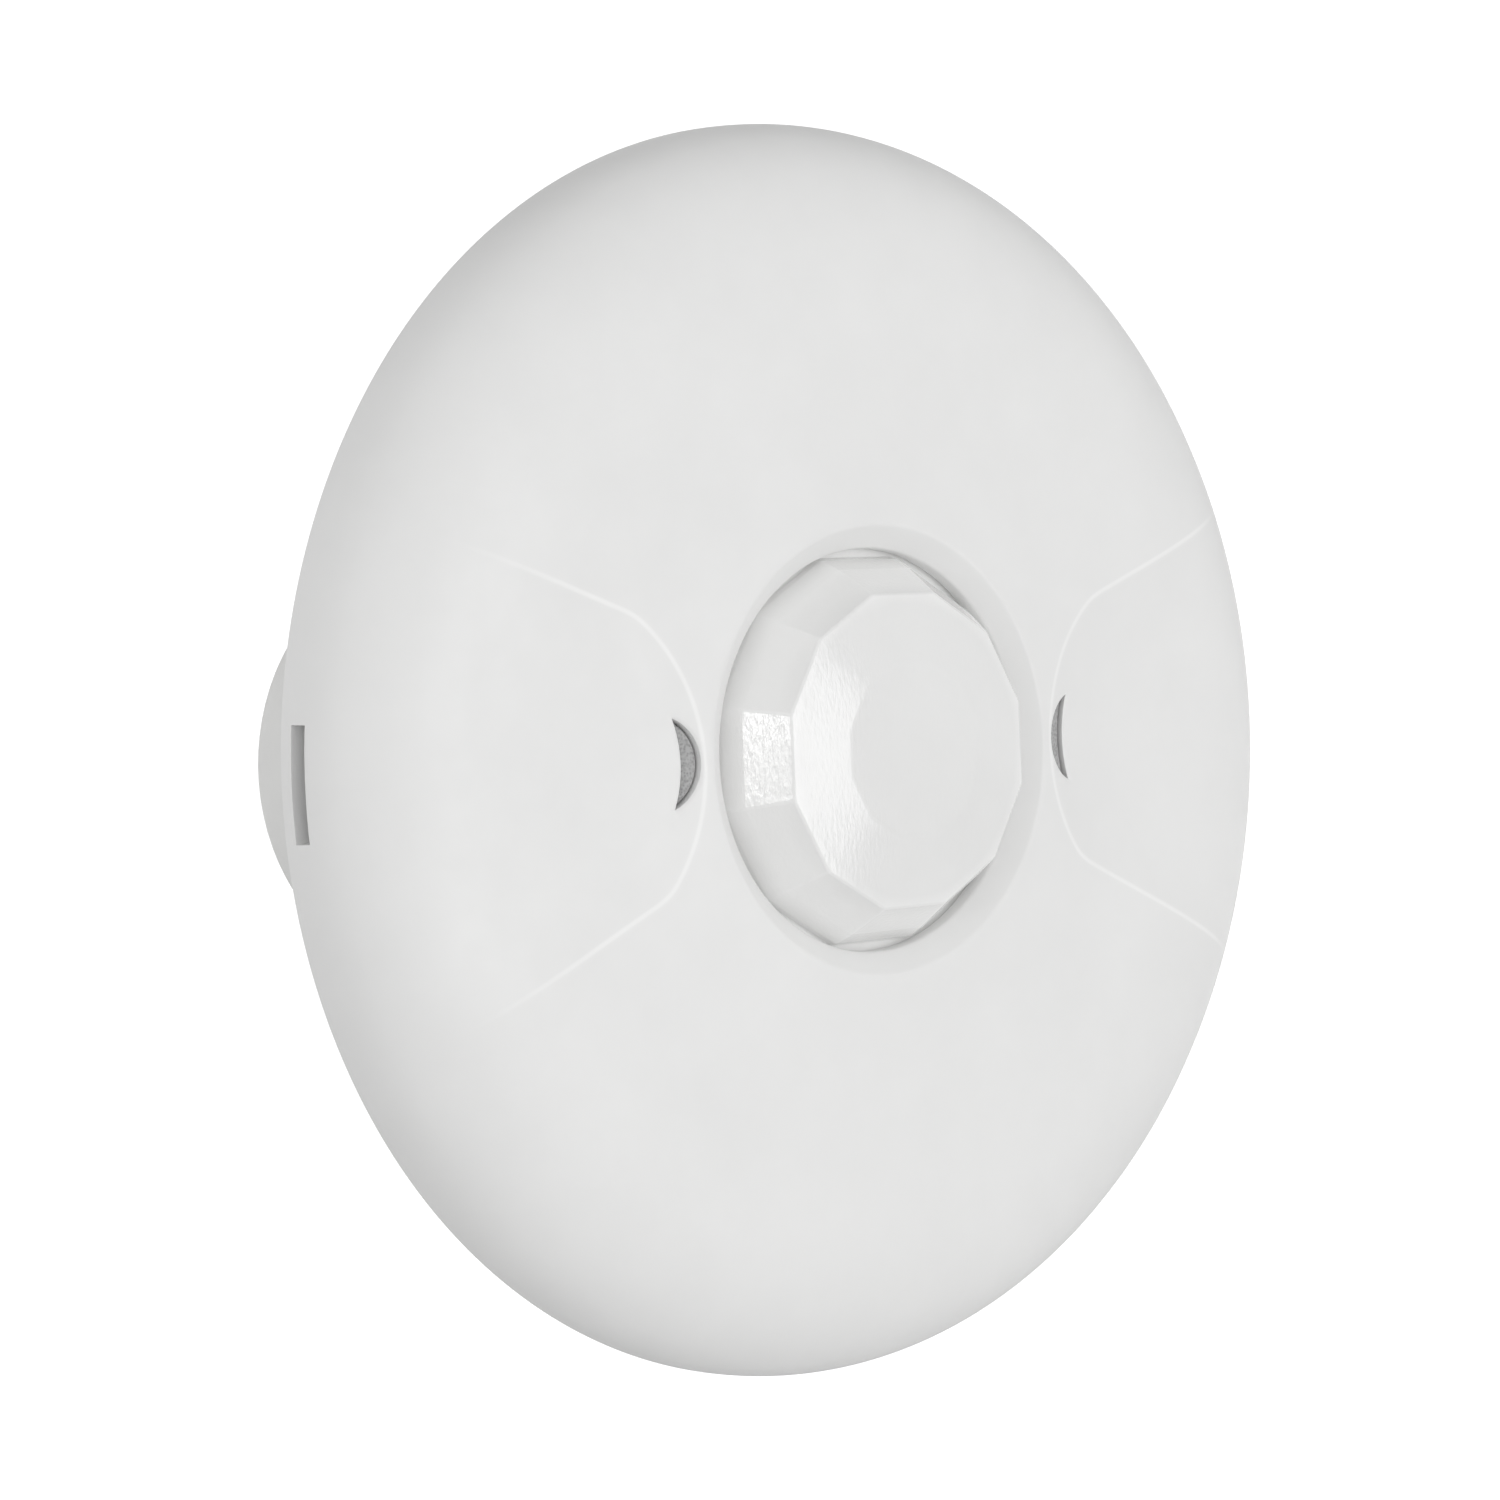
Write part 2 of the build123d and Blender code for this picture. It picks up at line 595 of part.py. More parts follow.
with BuildPart() as main_pcb:
    with BuildSketch(face_plane(PCB_BACK)):
        Circle(PCB_R)
        Rectangle(2 * PCB_R, 2 * PCB_HALF_HEIGHT, mode=Mode.INTERSECT)
        with Locations(*standoff_points):
            Circle(PCB_SCREW_HOLE_R, mode=Mode.SUBTRACT)
        with PolarLocations(PEG_CENTRE_R, PEG_COUNT, start_angle=PEG_START_ANGLE):
            Circle(PEG_HOLE_R, mode=Mode.SUBTRACT)
        with Locations(*front_legs):
            Circle(LEG_HOLE_R, mode=Mode.SUBTRACT)
        with Locations(*relay_legs, *pole_points):
            Circle(WIDE_LEG_HOLE_R, mode=Mode.SUBTRACT)
    extrude(amount=PCB_FRONT - PCB_BACK)
save(main_pcb, "main_pcb")

with BuildPart() as pcb_screws:
    with BuildSketch(face_plane(PCB_FRONT)):
        with Locations(*standoff_points):
            Circle(SCREW_HEAD_R)
    extrude(amount=SCREW_HEAD_THICK)
    fillet(pcb_screws.faces().sort_by(Axis.Y)[0:4].edges(), SCREW_HEAD_ROUND)
    with BuildSketch(face_plane(SCREW_TIP)):
        with Locations(*standoff_points):
            Circle(SCREW_SHANK_R)
    extrude(amount=PCB_FRONT - SCREW_TIP)
    with BuildSketch(face_plane(PCB_FRONT + SCREW_HEAD_THICK - SCREW_RECESS_DEPTH)):
        with Locations(*standoff_points):
            Rectangle(*SCREW_RECESS)
            Rectangle(*SCREW_RECESS[::-1])
    extrude(amount=SCREW_RECESS_DEPTH + CLEAR, mode=Mode.SUBTRACT)
save(pcb_screws, "pcb_screws")

# ---------------------------------------------------------------- heat-motion detector
with BuildPart() as pir_spacer:
    with BuildSketch(face_plane(PCB_FRONT)):
        Circle(DETECTOR_SPACER_R)
        with Locations(*detector_legs):
            Circle(LEG_HOLE_R, mode=Mode.SUBTRACT)
    extrude(amount=DETECTOR_SEAT - PCB_FRONT)
save(pir_spacer, "pir_spacer")

with BuildPart() as pir_can:
    with BuildSketch(face_plane(DETECTOR_SEAT)):
        Circle(DETECTOR_FLANGE_R)
    extrude(amount=DETECTOR_FLANGE_TOP - DETECTOR_SEAT)
    with BuildSketch(face_plane(DETECTOR_FLANGE_TOP)):
        Circle(DETECTOR_CAN_R)
    extrude(amount=DETECTOR_TOP - DETECTOR_FLANGE_TOP)
    fillet(pir_can.faces().sort_by(Axis.Y)[0].edges(), DETECTOR_ROUND)
    with BuildSketch(face_plane(DETECTOR_TOP - WINDOW_DEPTH)):
        Rectangle(*WINDOW_OPENING)
    extrude(amount=WINDOW_DEPTH + CLEAR, mode=Mode.SUBTRACT)
save(pir_can, "pir_can")

with BuildPart() as pir_window:
    with BuildSketch(face_plane(DETECTOR_TOP - WINDOW_DEPTH)):
        Rectangle(*WINDOW_SIZE)
    extrude(amount=WINDOW_THICK)
save(pir_window, "pir_window")
save(legs(detector_legs, DETECTOR_LEG_R, DETECTOR_SEAT), "pir_leads")

# ---------------------------------------------------------------- ultrasonic transducers
for side_name, side in (("left", -1), ("right", 1)):
    centre = (side * TRANSDUCER_X, 0)
    with BuildPart() as boot:
        with BuildSketch(face_plane(PCB_FRONT)):
            with Locations(centre):
                Circle(BOOT_R)
            with Locations(*shifted(centre, [(0, -TRANSDUCER_PIN_Z), (0, TRANSDUCER_PIN_Z)])):
                Circle(LEG_HOLE_R, mode=Mode.SUBTRACT)
        extrude(amount=BOOT_TOP - PCB_FRONT)
        with BuildSketch(face_plane(PCB_FRONT + BOOT_FLOOR)):
            with Locations(centre):
                Circle(TRANSDUCER_R + BOOT_GAP)
        extrude(amount=BOOT_TOP - PCB_FRONT, mode=Mode.SUBTRACT)
    save(boot, f"{side_name}_transducer_boot")

    with BuildPart() as can:
        with BuildSketch(face_plane(PCB_FRONT + BOOT_FLOOR)):
            with Locations(centre):
                Circle(TRANSDUCER_R)
        extrude(amount=TRANSDUCER_TOP - PCB_FRONT - BOOT_FLOOR)
        with BuildSketch(face_plane(CAN_FLOOR)):
            with Locations(centre):
                Circle(CAN_BORE_R)
        extrude(amount=TRANSDUCER_TOP + CLEAR - CAN_FLOOR, mode=Mode.SUBTRACT)
        with BuildSketch(face_plane(MESH_SEAT)):
            with Locations(centre):
                Circle(MESH_RECESS_R)
        extrude(amount=TRANSDUCER_TOP + CLEAR - MESH_SEAT, mode=Mode.SUBTRACT)
    save(can, f"{side_name}_transducer_can")

    with BuildPart() as mesh:
        with BuildSketch(face_plane(MESH_SEAT)):
            with Locations(centre):
                Circle(MESH_R)
        extrude(amount=MESH_THICK)
    save(mesh, f"{side_name}_transducer_mesh")

    with BuildPart() as gasket:
        with BuildSketch(face_plane(TRANSDUCER_TOP)):
            with Locations(centre):
                Circle(GASKET_R)
                Circle(MESH_RECESS_R, mode=Mode.SUBTRACT)
        extrude(amount=GASKET_THICK)
    save(gasket, f"{side_name}_transducer_gasket")

with BuildPart() as transducer_cones:
    for centre_x in (-TRANSDUCER_X, TRANSDUCER_X):
        with BuildSketch(profile_plane(centre_x)):
            Polygon(*CONE_PROFILE, align=None)
        revolve(axis=Axis((centre_x, 0, 0), (0, 1, 0)))
save(transducer_cones, "transducer_cones")
# Cut flush behind the board, because the terminal block sits over them.
save(legs(transducer_legs, LEG_R, PCB_FRONT + BOOT_FLOOR, PCB_BACK), "transducer_pins")

# ---------------------------------------------------------------- daylight sensor and lights
with BuildPart() as photocell:
    with BuildSketch(face_plane(PHOTOCELL_BACK)):
        with Locations((0, PHOTOCELL_Z)):
            Circle(PHOTOCELL_R)
            Rectangle(*PHOTOCELL_BLANK, mode=Mode.INTERSECT)
    extrude(amount=PHOTOCELL_THICK)
    fillet(photocell.faces().sort_by(Axis.Y)[0].edges(), PHOTOCELL_ROUND)
save(photocell, "photocell")
save(legs(photocell_legs, THIN_LEG_R, PHOTOCELL_BACK), "photocell_leads")

for led_name, (led_x, led_z) in LED_PLACES.items():
    collar_top = PCB_FRONT + LED_COLLAR_THICK
    with BuildPart() as led:
        with BuildSketch(profile_plane(led_x, led_z)):
            with BuildLine():
                Polyline(
                    (0, PCB_FRONT),
                    (LED_COLLAR_R, PCB_FRONT),
                    (LED_COLLAR_R, collar_top),
                    (LED_R, collar_top),
                    (LED_R, LED_SHOULDER),
                )
                RadiusArc((LED_R, LED_SHOULDER), (0, LED_TOP), -LED_R)
                Line((0, LED_TOP), (0, PCB_FRONT))
            make_face()
        revolve(axis=Axis((led_x, 0, led_z), (0, 1, 0)))
        with BuildSketch(face_plane(LEG_TIP)):
            with Locations((led_x - LED_LEG_X, led_z), (led_x + LED_LEG_X, led_z)):
                Circle(THIN_LEG_R)
        extrude(amount=PCB_FRONT - LEG_TIP)
    save(led, led_name)

# ---------------------------------------------------------------- setting dials
for dial_name, dial_place in DIALS.items():
    with BuildPart() as trimmer:
        with BuildSketch(face_plane(PCB_FRONT)):
            with Locations(dial_place):
                RectangleRounded(TRIMMER_SIDE, TRIMMER_SIDE, TRIMMER_CORNER)
        extrude(amount=TRIMMER_TOP - PCB_FRONT)
        with BuildSketch(face_plane(POCKET_FLOOR)):
            with Locations(dial_place):
                Circle(POCKET_R)
        extrude(amount=TRIMMER_TOP + CLEAR - POCKET_FLOOR, mode=Mode.SUBTRACT)
        with BuildSketch(face_plane(STEM_HOLE_FLOOR)):
            with Locations(dial_place):
                Circle(STEM_HOLE_R)
        extrude(amount=TRIMMER_TOP - STEM_HOLE_FLOOR, mode=Mode.SUBTRACT)
        with BuildSketch(face_plane(LEG_TIP)):
            with Locations(*shifted(dial_place, TRIMMER_LEG_STEPS)):
                Circle(LEG_R)
        extrude(amount=PCB_FRONT - LEG_TIP)
    save(trimmer, f"{dial_name}_trimmer_body")

    with BuildPart() as dial:
        with BuildSketch(face_plane(DIAL_BACK)):
            with Locations(dial_place):
                Circle(DIAL_R)
        extrude(amount=DIAL_THICK)
        chamfer(dial.faces().sort_by(Axis.Y)[0].edges(), DIAL_EDGE)
        # Stem in the body, and an arrow-shaped driver slot in the face.
        with BuildSketch(face_plane(DIAL_STEM_TIP)):
            with Locations(dial_place):
                Circle(DIAL_STEM_R)
        extrude(amount=DIAL_BACK - DIAL_STEM_TIP)
        with BuildSketch(face_plane(DIAL_SLOT_FLOOR)):
            with Locations(dial_place):
                Rectangle(*DIAL_SLOT)
                Rectangle(*DIAL_CROSS)
            with Locations((dial_place[0], dial_place[1] + DIAL_ARROW_Z)):
                Triangle(a=DIAL_ARROW_BASE, b=DIAL_ARROW_SIDE, c=DIAL_ARROW_SIDE)
        extrude(amount=DIAL_BACK + DIAL_THICK + CLEAR - DIAL_SLOT_FLOOR, mode=Mode.SUBTRACT)
    save(dial, f"{dial_name}_dial")

# ---------------------------------------------------------------- switch banks
for bank_name, bank_x in BANKS.items():
    well_points = shifted((bank_x, BANK_Z), [(step, 0) for step in switch_steps])
    with BuildPart() as bank:
        with BuildSketch(face_plane(PCB_FRONT)):
            with Locations((bank_x, BANK_Z)):
                Rectangle(*BANK_SIZE)
        extrude(amount=BANK_TOP - PCB_FRONT)
        chamfer(bank.faces().sort_by(Axis.Y)[0].edges(), BANK_EDGE)
        with BuildSketch(face_plane(WELL_FLOOR)):
            with Locations(*well_points):
                Rectangle(*WELL_SIZE)
        extrude(amount=BANK_TOP + CLEAR - WELL_FLOOR, mode=Mode.SUBTRACT)
    save(bank, f"switch_bank_{bank_name}")

    # Each slider starts near the lower end of its well and slides up it.
    for number, (well_x, well_z) in enumerate(well_points, start=1):
        with BuildPart() as slider:
            with BuildSketch(face_plane(WELL_FLOOR + SLIDER_GAP)):
                with Locations((well_x, well_z + SLIDER_START_Z)):
                    Rectangle(*SLIDER_SIZE)
            extrude(amount=SLIDER_TOP - WELL_FLOOR - SLIDER_GAP)
            chamfer(slider.faces().sort_by(Axis.Y)[0].edges(), SLIDER_EDGE)
        save(slider, f"switch_{bank_name}_{number}")

save(legs(bank_legs, THIN_LEG_R, PCB_FRONT), "switch_pins")

# ---------------------------------------------------------------- chips
chip_top = PCB_FRONT + CHIP_GAP + CHIP_THICK
mcu_dot_r, mcu_dot_step = MCU_DOT
amplifier_dot_r, amplifier_dot_step = AMPLIFIER_DOT

with BuildPart() as microcontroller:
    with BuildSketch(face_plane(PCB_FRONT + CHIP_GAP)):
        with Locations(MCU_PLACE):
            Rectangle(MCU_SIDE, MCU_SIDE)
    extrude(amount=CHIP_THICK)
    chamfer(microcontroller.faces().sort_by(Axis.Y)[0].edges(), MCU_EDGE)
    with BuildSketch(face_plane(chip_top - DOT_DEPTH)):
        with Locations(*shifted(MCU_PLACE, [(-mcu_dot_step, mcu_dot_step)])):
            Circle(mcu_dot_r)
    extrude(amount=DOT_DEPTH + CLEAR, mode=Mode.SUBTRACT)
save(microcontroller, "microcontroller")

with BuildPart() as amplifier_chips:
    for chip_x, chip_z, length, width, _ in AMPLIFIERS:
        dot = (chip_x - length / 2 + amplifier_dot_step, chip_z - width / 2 + amplifier_dot_step)
        with BuildSketch(face_plane(PCB_FRONT + CHIP_GAP)):
            with Locations((chip_x, chip_z)):
                Rectangle(length, width)
        extrude(amount=CHIP_THICK)
        with BuildSketch(face_plane(chip_top - DOT_DEPTH)):
            with Locations(dot):
                Circle(amplifier_dot_r)
        extrude(amount=DOT_DEPTH + CLEAR, mode=Mode.SUBTRACT)
save(amplifier_chips, "amplifier_chips")

with BuildPart() as chip_leads:
    amplifier_legs = []
    for chip_x, chip_z, _, width, count in AMPLIFIERS:
        leg_z = (width + CHIP_LEG_REACH) / 2
        for index in range(count):
            leg_x = (index - (count - 1) / 2) * AMPLIFIER_LEG_PITCH
            amplifier_legs += shifted((chip_x, chip_z), [(leg_x, -leg_z), (leg_x, leg_z)])
    with BuildSketch(face_plane(PCB_FRONT)):
        with Locations(*amplifier_legs):
            Rectangle(AMPLIFIER_LEG_WIDTH, CHIP_LEG_REACH)
    extrude(amount=CHIP_LEG_THICK)
    mcu_edge = (MCU_SIDE + CHIP_LEG_REACH) / 2
    upright_steps = []
    for index in range(MCU_LEG_COUNT):
        along = (index - (MCU_LEG_COUNT - 1) / 2) * MCU_LEG_PITCH
        upright_steps += [(along, -mcu_edge), (along, mcu_edge)]
    with BuildSketch(face_plane(PCB_FRONT)):
        with Locations(*shifted(MCU_PLACE, upright_steps)):
            Rectangle(MCU_LEG_WIDTH, CHIP_LEG_REACH)
        with Locations(*shifted(MCU_PLACE, [(dz, dx) for dx, dz in upright_steps])):
            Rectangle(CHIP_LEG_REACH, MCU_LEG_WIDTH)
    extrude(amount=CHIP_LEG_THICK)
save(chip_leads, "chip_leads")
save(chip_rows(RESISTOR_ROWS), "chip_resistors")
save(chip_rows(CAPACITOR_ROWS), "chip_capacitors")

with BuildPart() as crystal:
    with BuildSketch(face_plane(PCB_FRONT)):
        with Locations(CRYSTAL_PLACE):
            SlotOverall(*CRYSTAL_FLANGE, rotation=90)
    extrude(amount=CRYSTAL_FLANGE_THICK)
    with BuildSketch(face_plane(PCB_FRONT + CRYSTAL_FLANGE_THICK)):
        with Locations(CRYSTAL_PLACE):
            SlotOverall(*CRYSTAL_CAN, rotation=90)
    extrude(amount=CRYSTAL_CAN_THICK)
    fillet(crystal.faces().sort_by(Axis.Y)[0].edges(), CRYSTAL_FLANGE_THICK)
save(crystal, "crystal")

# ---------------------------------------------------------------- parts in the rear housing
with BuildPart() as relay:
    with BuildSketch(face_plane(PCB_BACK)):
        with Locations((RELAY_X, 0)):
            RectangleRounded(*RELAY_SIZE, RELAY_CORNER)
    extrude(amount=-RELAY_DEPTH)
    fillet(relay.faces().sort_by(Axis.Y)[-1].edges(), RELAY_ROUND)
save(relay, "relay")

with BuildPart() as relay_pins:
    with BuildSketch(face_plane(PCB_BACK)):
        with Locations(*relay_legs):
            Rectangle(*RELAY_LEG_SIZE)
    extrude(amount=LEG_FLUSH - PCB_BACK)
save(relay_pins, "relay_pins")

with BuildPart() as electrolytics:
    for can_x, can_z, can_r, can_length in ELECTROLYTICS:
        with BuildSketch(face_plane(PCB_BACK)):
            with Locations((can_x, can_z)):
                Circle(can_r)
        extrude(amount=-can_length)
    fillet(electrolytics.faces().filter_by(Axis.Y).group_by(Axis.Y)[-1].edges(), ELECTROLYTIC_ROUND)
save(electrolytics, "electrolytics")

with BuildPart() as terminal_block:
    with BuildSketch(face_plane(TERMINAL_REAR)):
        with Locations((TERMINAL_X, 0)):
            Rectangle(TERMINAL_LENGTH, TERMINAL_WIDTH)
    extrude(amount=PCB_BACK - TERMINAL_REAR)
    # A screw well and a wire space in each pole, with the space open at the lower side.
    with BuildSketch(face_plane(TERMINAL_REAR - CLEAR)):
        with Locations(*pole_points):
            Circle(SCREW_WELL_R)
    extrude(amount=SCREW_WELL_DEPTH + CLEAR, mode=Mode.SUBTRACT)
    with BuildSketch(face_plane(TERMINAL_REAR + SCREW_WELL_DEPTH)):
        with Locations(*[(x, CAGE_SPACE_Z) for x, _ in pole_points]):
            Rectangle(*CAGE_SPACE)
    extrude(amount=CAGE_SPACE_DEPTH, mode=Mode.SUBTRACT)
    with BuildSketch(face_plane(TERMINAL_REAR + SCREW_WELL_DEPTH + CAGE_SPACE_DEPTH)):
        with Locations(*pole_points):
            Circle(WIDE_LEG_HOLE_R)
    extrude(amount=PCB_BACK - TERMINAL_REAR - SCREW_WELL_DEPTH - CAGE_SPACE_DEPTH, mode=Mode.SUBTRACT)
save(terminal_block, "terminal_block")

with BuildPart() as terminal_screws:
    with BuildSketch(face_plane(TERMINAL_REAR + TERMINAL_HEAD_START)):
        with Locations(*pole_points):
            Circle(TERMINAL_HEAD_R)
    extrude(amount=TERMINAL_HEAD_THICK)
    with BuildSketch(face_plane(TERMINAL_REAR + TERMINAL_HEAD_START + TERMINAL_HEAD_THICK)):
        with Locations(*pole_points):
            Circle(TERMINAL_SHANK_R)
    extrude(amount=TERMINAL_SHANK_LENGTH)
    with BuildSketch(face_plane(TERMINAL_REAR)):
        with Locations(*pole_points):
            Rectangle(*TERMINAL_SLOT)
    extrude(amount=TERMINAL_SLOT_DEPTH, mode=Mode.SUBTRACT)
save(terminal_screws, "terminal_screws")

clamp_points = [(x, CLAMP_Z) for x, _ in pole_points]
with BuildPart() as terminal_clamps:
    # A cage round each wire space, with a solder leg through the board.
    with BuildSketch(face_plane(TERMINAL_REAR + CLAMP_START)):
        with Locations(*clamp_points):
            Rectangle(*CLAMP_SIZE)
    extrude(amount=CLAMP_DEPTH)
    with BuildSketch(face_plane(TERMINAL_REAR + CLAMP_START + CLAMP_WALL)):
        with Locations(*clamp_points):
            Rectangle(*CLAMP_MOUTH)
    extrude(amount=CLAMP_DEPTH - 2 * CLAMP_WALL, mode=Mode.SUBTRACT)
    with BuildSketch(face_plane(TERMINAL_REAR + CLAMP_LEG_START)):
        with Locations(*pole_points):
            Circle(CLAMP_LEG_R)
    extrude(amount=LEG_FLUSH - TERMINAL_REAR - CLAMP_LEG_START)
save(terminal_clamps, "terminal_clamps")
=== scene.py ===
from math import acos, cos, pi, radians, sin
import json

import bmesh
import bpy
import numpy as np
from mathutils import Matrix, Vector
from mathutils.geometry import delaunay_2d_cdt


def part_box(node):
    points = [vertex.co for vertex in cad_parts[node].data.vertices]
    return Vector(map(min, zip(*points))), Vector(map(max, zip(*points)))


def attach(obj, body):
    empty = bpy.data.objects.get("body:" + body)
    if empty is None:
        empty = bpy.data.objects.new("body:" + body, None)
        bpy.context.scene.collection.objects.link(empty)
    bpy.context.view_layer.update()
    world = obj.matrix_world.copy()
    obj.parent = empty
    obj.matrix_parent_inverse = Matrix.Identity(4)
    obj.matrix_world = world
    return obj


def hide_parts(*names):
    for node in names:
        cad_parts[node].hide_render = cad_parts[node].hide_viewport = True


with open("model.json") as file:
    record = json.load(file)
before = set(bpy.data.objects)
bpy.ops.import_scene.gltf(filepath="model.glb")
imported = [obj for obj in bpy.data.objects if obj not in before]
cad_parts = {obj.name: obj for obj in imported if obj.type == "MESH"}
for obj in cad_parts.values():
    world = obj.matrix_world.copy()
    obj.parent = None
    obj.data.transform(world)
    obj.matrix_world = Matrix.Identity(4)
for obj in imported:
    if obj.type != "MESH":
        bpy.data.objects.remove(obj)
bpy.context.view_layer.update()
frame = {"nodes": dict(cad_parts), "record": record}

# The object is a ceiling sensor that looks along -Y. Shapes below are worked out in
# millimetres as (x, z, height), where height is the distance in front of the ceiling plane.
MM = 0.001
NODES = frame["nodes"]
SLOTS = {part["node"]: part["material_slot"] for part in frame["record"]["subparts"]}

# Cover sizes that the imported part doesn't name
COVER_R = 57.0
WAIST_HEIGHT = 5.55
FACE_HEIGHT = 16.87
RIM_START_R = 35.0
RIM_POWER_R = 3.03
RIM_POWER_HEIGHT = 2.19
CROWN_R = 38.0
CROWN_RISE = 0.77
BEVEL_R = 20.06
OPENING_R = 18.1
COVER_INNER_R = 54.8
COVER_INNER_BACK_R = 51.3
COVER_INNER_HEIGHT = 14.65
COVER_BACK_R = 53.4
COVER_BACK_HEIGHT = 0.7
COLUMNS = 360  # round the axis
RIM_ROWS = 26
INNER_RIM_ROWS = 18

# The sloping ring round the lens, as (radius, height) from the face to the opening
BEVEL_PROFILE = [
    (20.2, 17.615), (BEVEL_R, 17.57), (19.9, 17.47), (19.0, 16.74),
    (18.32, 16.17), (18.17, 16.02), (OPENING_R, 15.84),
]

# The face's mesh lies between these radii. The rim and the lens bevel are spun.
FACE_OUTER_R = 55.4
FACE_INNER_R = 20.35
FACE_STEP = 0.85
FACE_LEVELS = (-2.4, -1.3, -0.65, -0.3, -0.1, 0.08, 0.3, 0.7)  # scoop offsets with mesh lines
UNDERSIDE_RINGS = (21.5, 25.0, 28.5, 32.0)

# Mesh rows behind the waist, and the cover's softened back edge as (radius, height) from its corners
OUTER_BACK_ROWS = (5.1, 4.2, 3.2, 2.2, 1.4, 0.95)
INNER_BACK_ROWS = (1.1, 1.8, 2.5, 3.3, 4.2, 4.9)
OUTER_EDGE = [(-0.08, 0.08), (-0.25, 0.0)]
INNER_EDGE = [(0.2, 0.0), (0.08, 0.1)]

# Pry slot through the left side wall, between two heights
PRY_SLOT_BACK = 6.9
PRY_SLOT_FRONT = 8.4
PRY_SLOT_COLUMNS = 5  # on each side of its middle
PRY_SLOT_ROW_GAP = 0.12

# Scoop outline: an arc by the lens through three points, then two straight arms
SCOOP_HIGH = np.array((28.0, 13.0))
SCOOP_NEAR = np.array((21.1, 0.0))
SCOOP_LOW = np.array((25.3, -11.4))
SCOOP_HIGH_ARM = radians(20.5)
SCOOP_LOW_ARM = radians(-25.0)
SCOOP_DEPTH = 0.95
SCOOP_RUN = 9.0
SCOOP_FADE = (40.0, 54.8)
SCOOP_EDGE_SOFT = 0.16
SCOOP_HIGH_SOFT = 0.3
SCOOP_LOW_SOFT = 0.6
SCOOP_CENTRE = np.array((46.0, 0.5))

# The painted highlight line along the scoops' edges: half width, and where it fades out on each side
PAINTED_HIGHLIGHT_HALF_WIDTH = 0.32
PAINTED_HIGHLIGHT_FADE_RIGHT = (46.0, 55.5)
PAINTED_HIGHLIGHT_FADE_LEFT = (34.0, 52.0)
PAINTED_HIGHLIGHT_MIN_HEIGHT = 9.5

# Sound slot outline: a crescent between two circles
SLOT_TIP = (24.05, 3.95)
SLOT_NEAR_X = 21.4
SLOT_FAR_X = 23.3
SLOT_CENTRE = np.array((22.4, 0.0))
SLOT_EDGE = 0.3
SLOT_EDGE_DROP = 0.12

# Foam in the sound slots
SCREEN_GAP = 0.2
SCREEN_DROP = 0.38
SCREEN_ROUND = 0.12
SCREEN_FLANGE_THICK = 0.65
SCREEN_FLANGE_R = 4.9
SCREEN_FLANGE_SIDES = 72

# Outlines of the bars inside the cover, as (radius, height)
HOOK_OUTLINE = [
    (51.4, 12.0), (51.4, 3.55), (50.78, 3.45), (50.95, 2.6),
    (51.3, 2.35), (53.0, 2.35), (53.2, 2.55), (53.2, 12.0),
]
RIB_OUTLINE = [(36.0, 12.6), (36.0, 15.2), (45.0, 15.2), (50.0, 13.4), (50.0, 12.45), (36.6, 12.4)]
HOOK_HALF_WIDTH = 5.0
RIB_HALF_WIDTH = 0.6

# Circuit board detail, in front of the board's own surface
PCB_FRONT = -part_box("main_pcb")[0][1] / MM
TRACK_TOP = PCB_FRONT + 0.03
TRACK_TOP_STEP = 0.004
PRINT_TOP = PCB_FRONT + 0.045
PAD_TOP = PCB_FRONT + 0.06
TRACK_WIDTH = 0.32
PRINT_WIDTH = 0.16
PRINT_GAP = 0.45
PRINT_RING_GAP = 0.4
PAD_EDGE = 0.03
LEAD_PAD_MARGIN = 0.08
BOARD_EDGE_GAP = 0.9
BOARD_END_GAP = 0.8
SCREW_CLEAR = 3.1
DIALS = ("time", "heat_range", "sound_range", "light_level")

# Metal ends and pads of the chip parts, measured from each part's own end
END_CAP_REACH = 0.42
END_CAP_SKIN = 0.03
END_CAP_EDGE = 0.05
END_PAD_REACH = 0.28
END_PAD_MARGIN = 0.1

# Vias: rings of (radius, height) from the hole outwards
VIA_RINGS = [(0.18, PAD_TOP - 0.03), (0.2, PAD_TOP), (0.34, PAD_TOP), (0.38, PCB_FRONT)]
VIA_SPACING = 0.95
VIA_SIDES = 12
TRACK_SHARES = (1.0, 0.8, 0.6, 0.45)  # of a track's straight run, tried in turn

# Buses round the tower: first and last degrees of each arc, with their change from lane to lane
BUS_ARCS = [(218, 3, 322, -3), (112, 4, 140, -1), (40, 1, 68, -4)]
BUS_LANES = 4
BUS_GAP = 1.6
BUS_PITCH = 0.75

# Camera, fitted to the photograph
YAW, PITCH, ROLL = radians(41.15), radians(1.92), radians(2.23)
CAMERA_PLACE = Vector((-0.2570, -0.2934, 0.0131))
SENSOR_WIDTH = 36.0
FOCAL_LENGTH = 101.18

# The backdrop lies ahead of the camera, where the floor and the surround are brightest.
BACKDROP = (0.66, 0.75, 0.0)
FLOOR_REACH = 12.0
FLOOR_LEVEL = -0.6
FLOOR_GLOW = {1: 1.2, 2: 3.0, 3: 0.0, 4: 0.75}  # from and to distances ahead, from and to strengths

# Each lobe of the surround: direction, the cosines where it starts and is full, and its strength
WORLD_LOBES = [
    ((0.0, 0.0, -1.0), -1.8, 0.2, 0.47),
    (BACKDROP, 0.78, 0.95, 0.75),
    ((0.0, -1.0, 0.0), -0.3, 1.0, 0.47),
    ((-0.96, 0.2, -0.2), -0.3, 1.0, 0.61),
]

# ------------------------------------------------------------------ small helpers


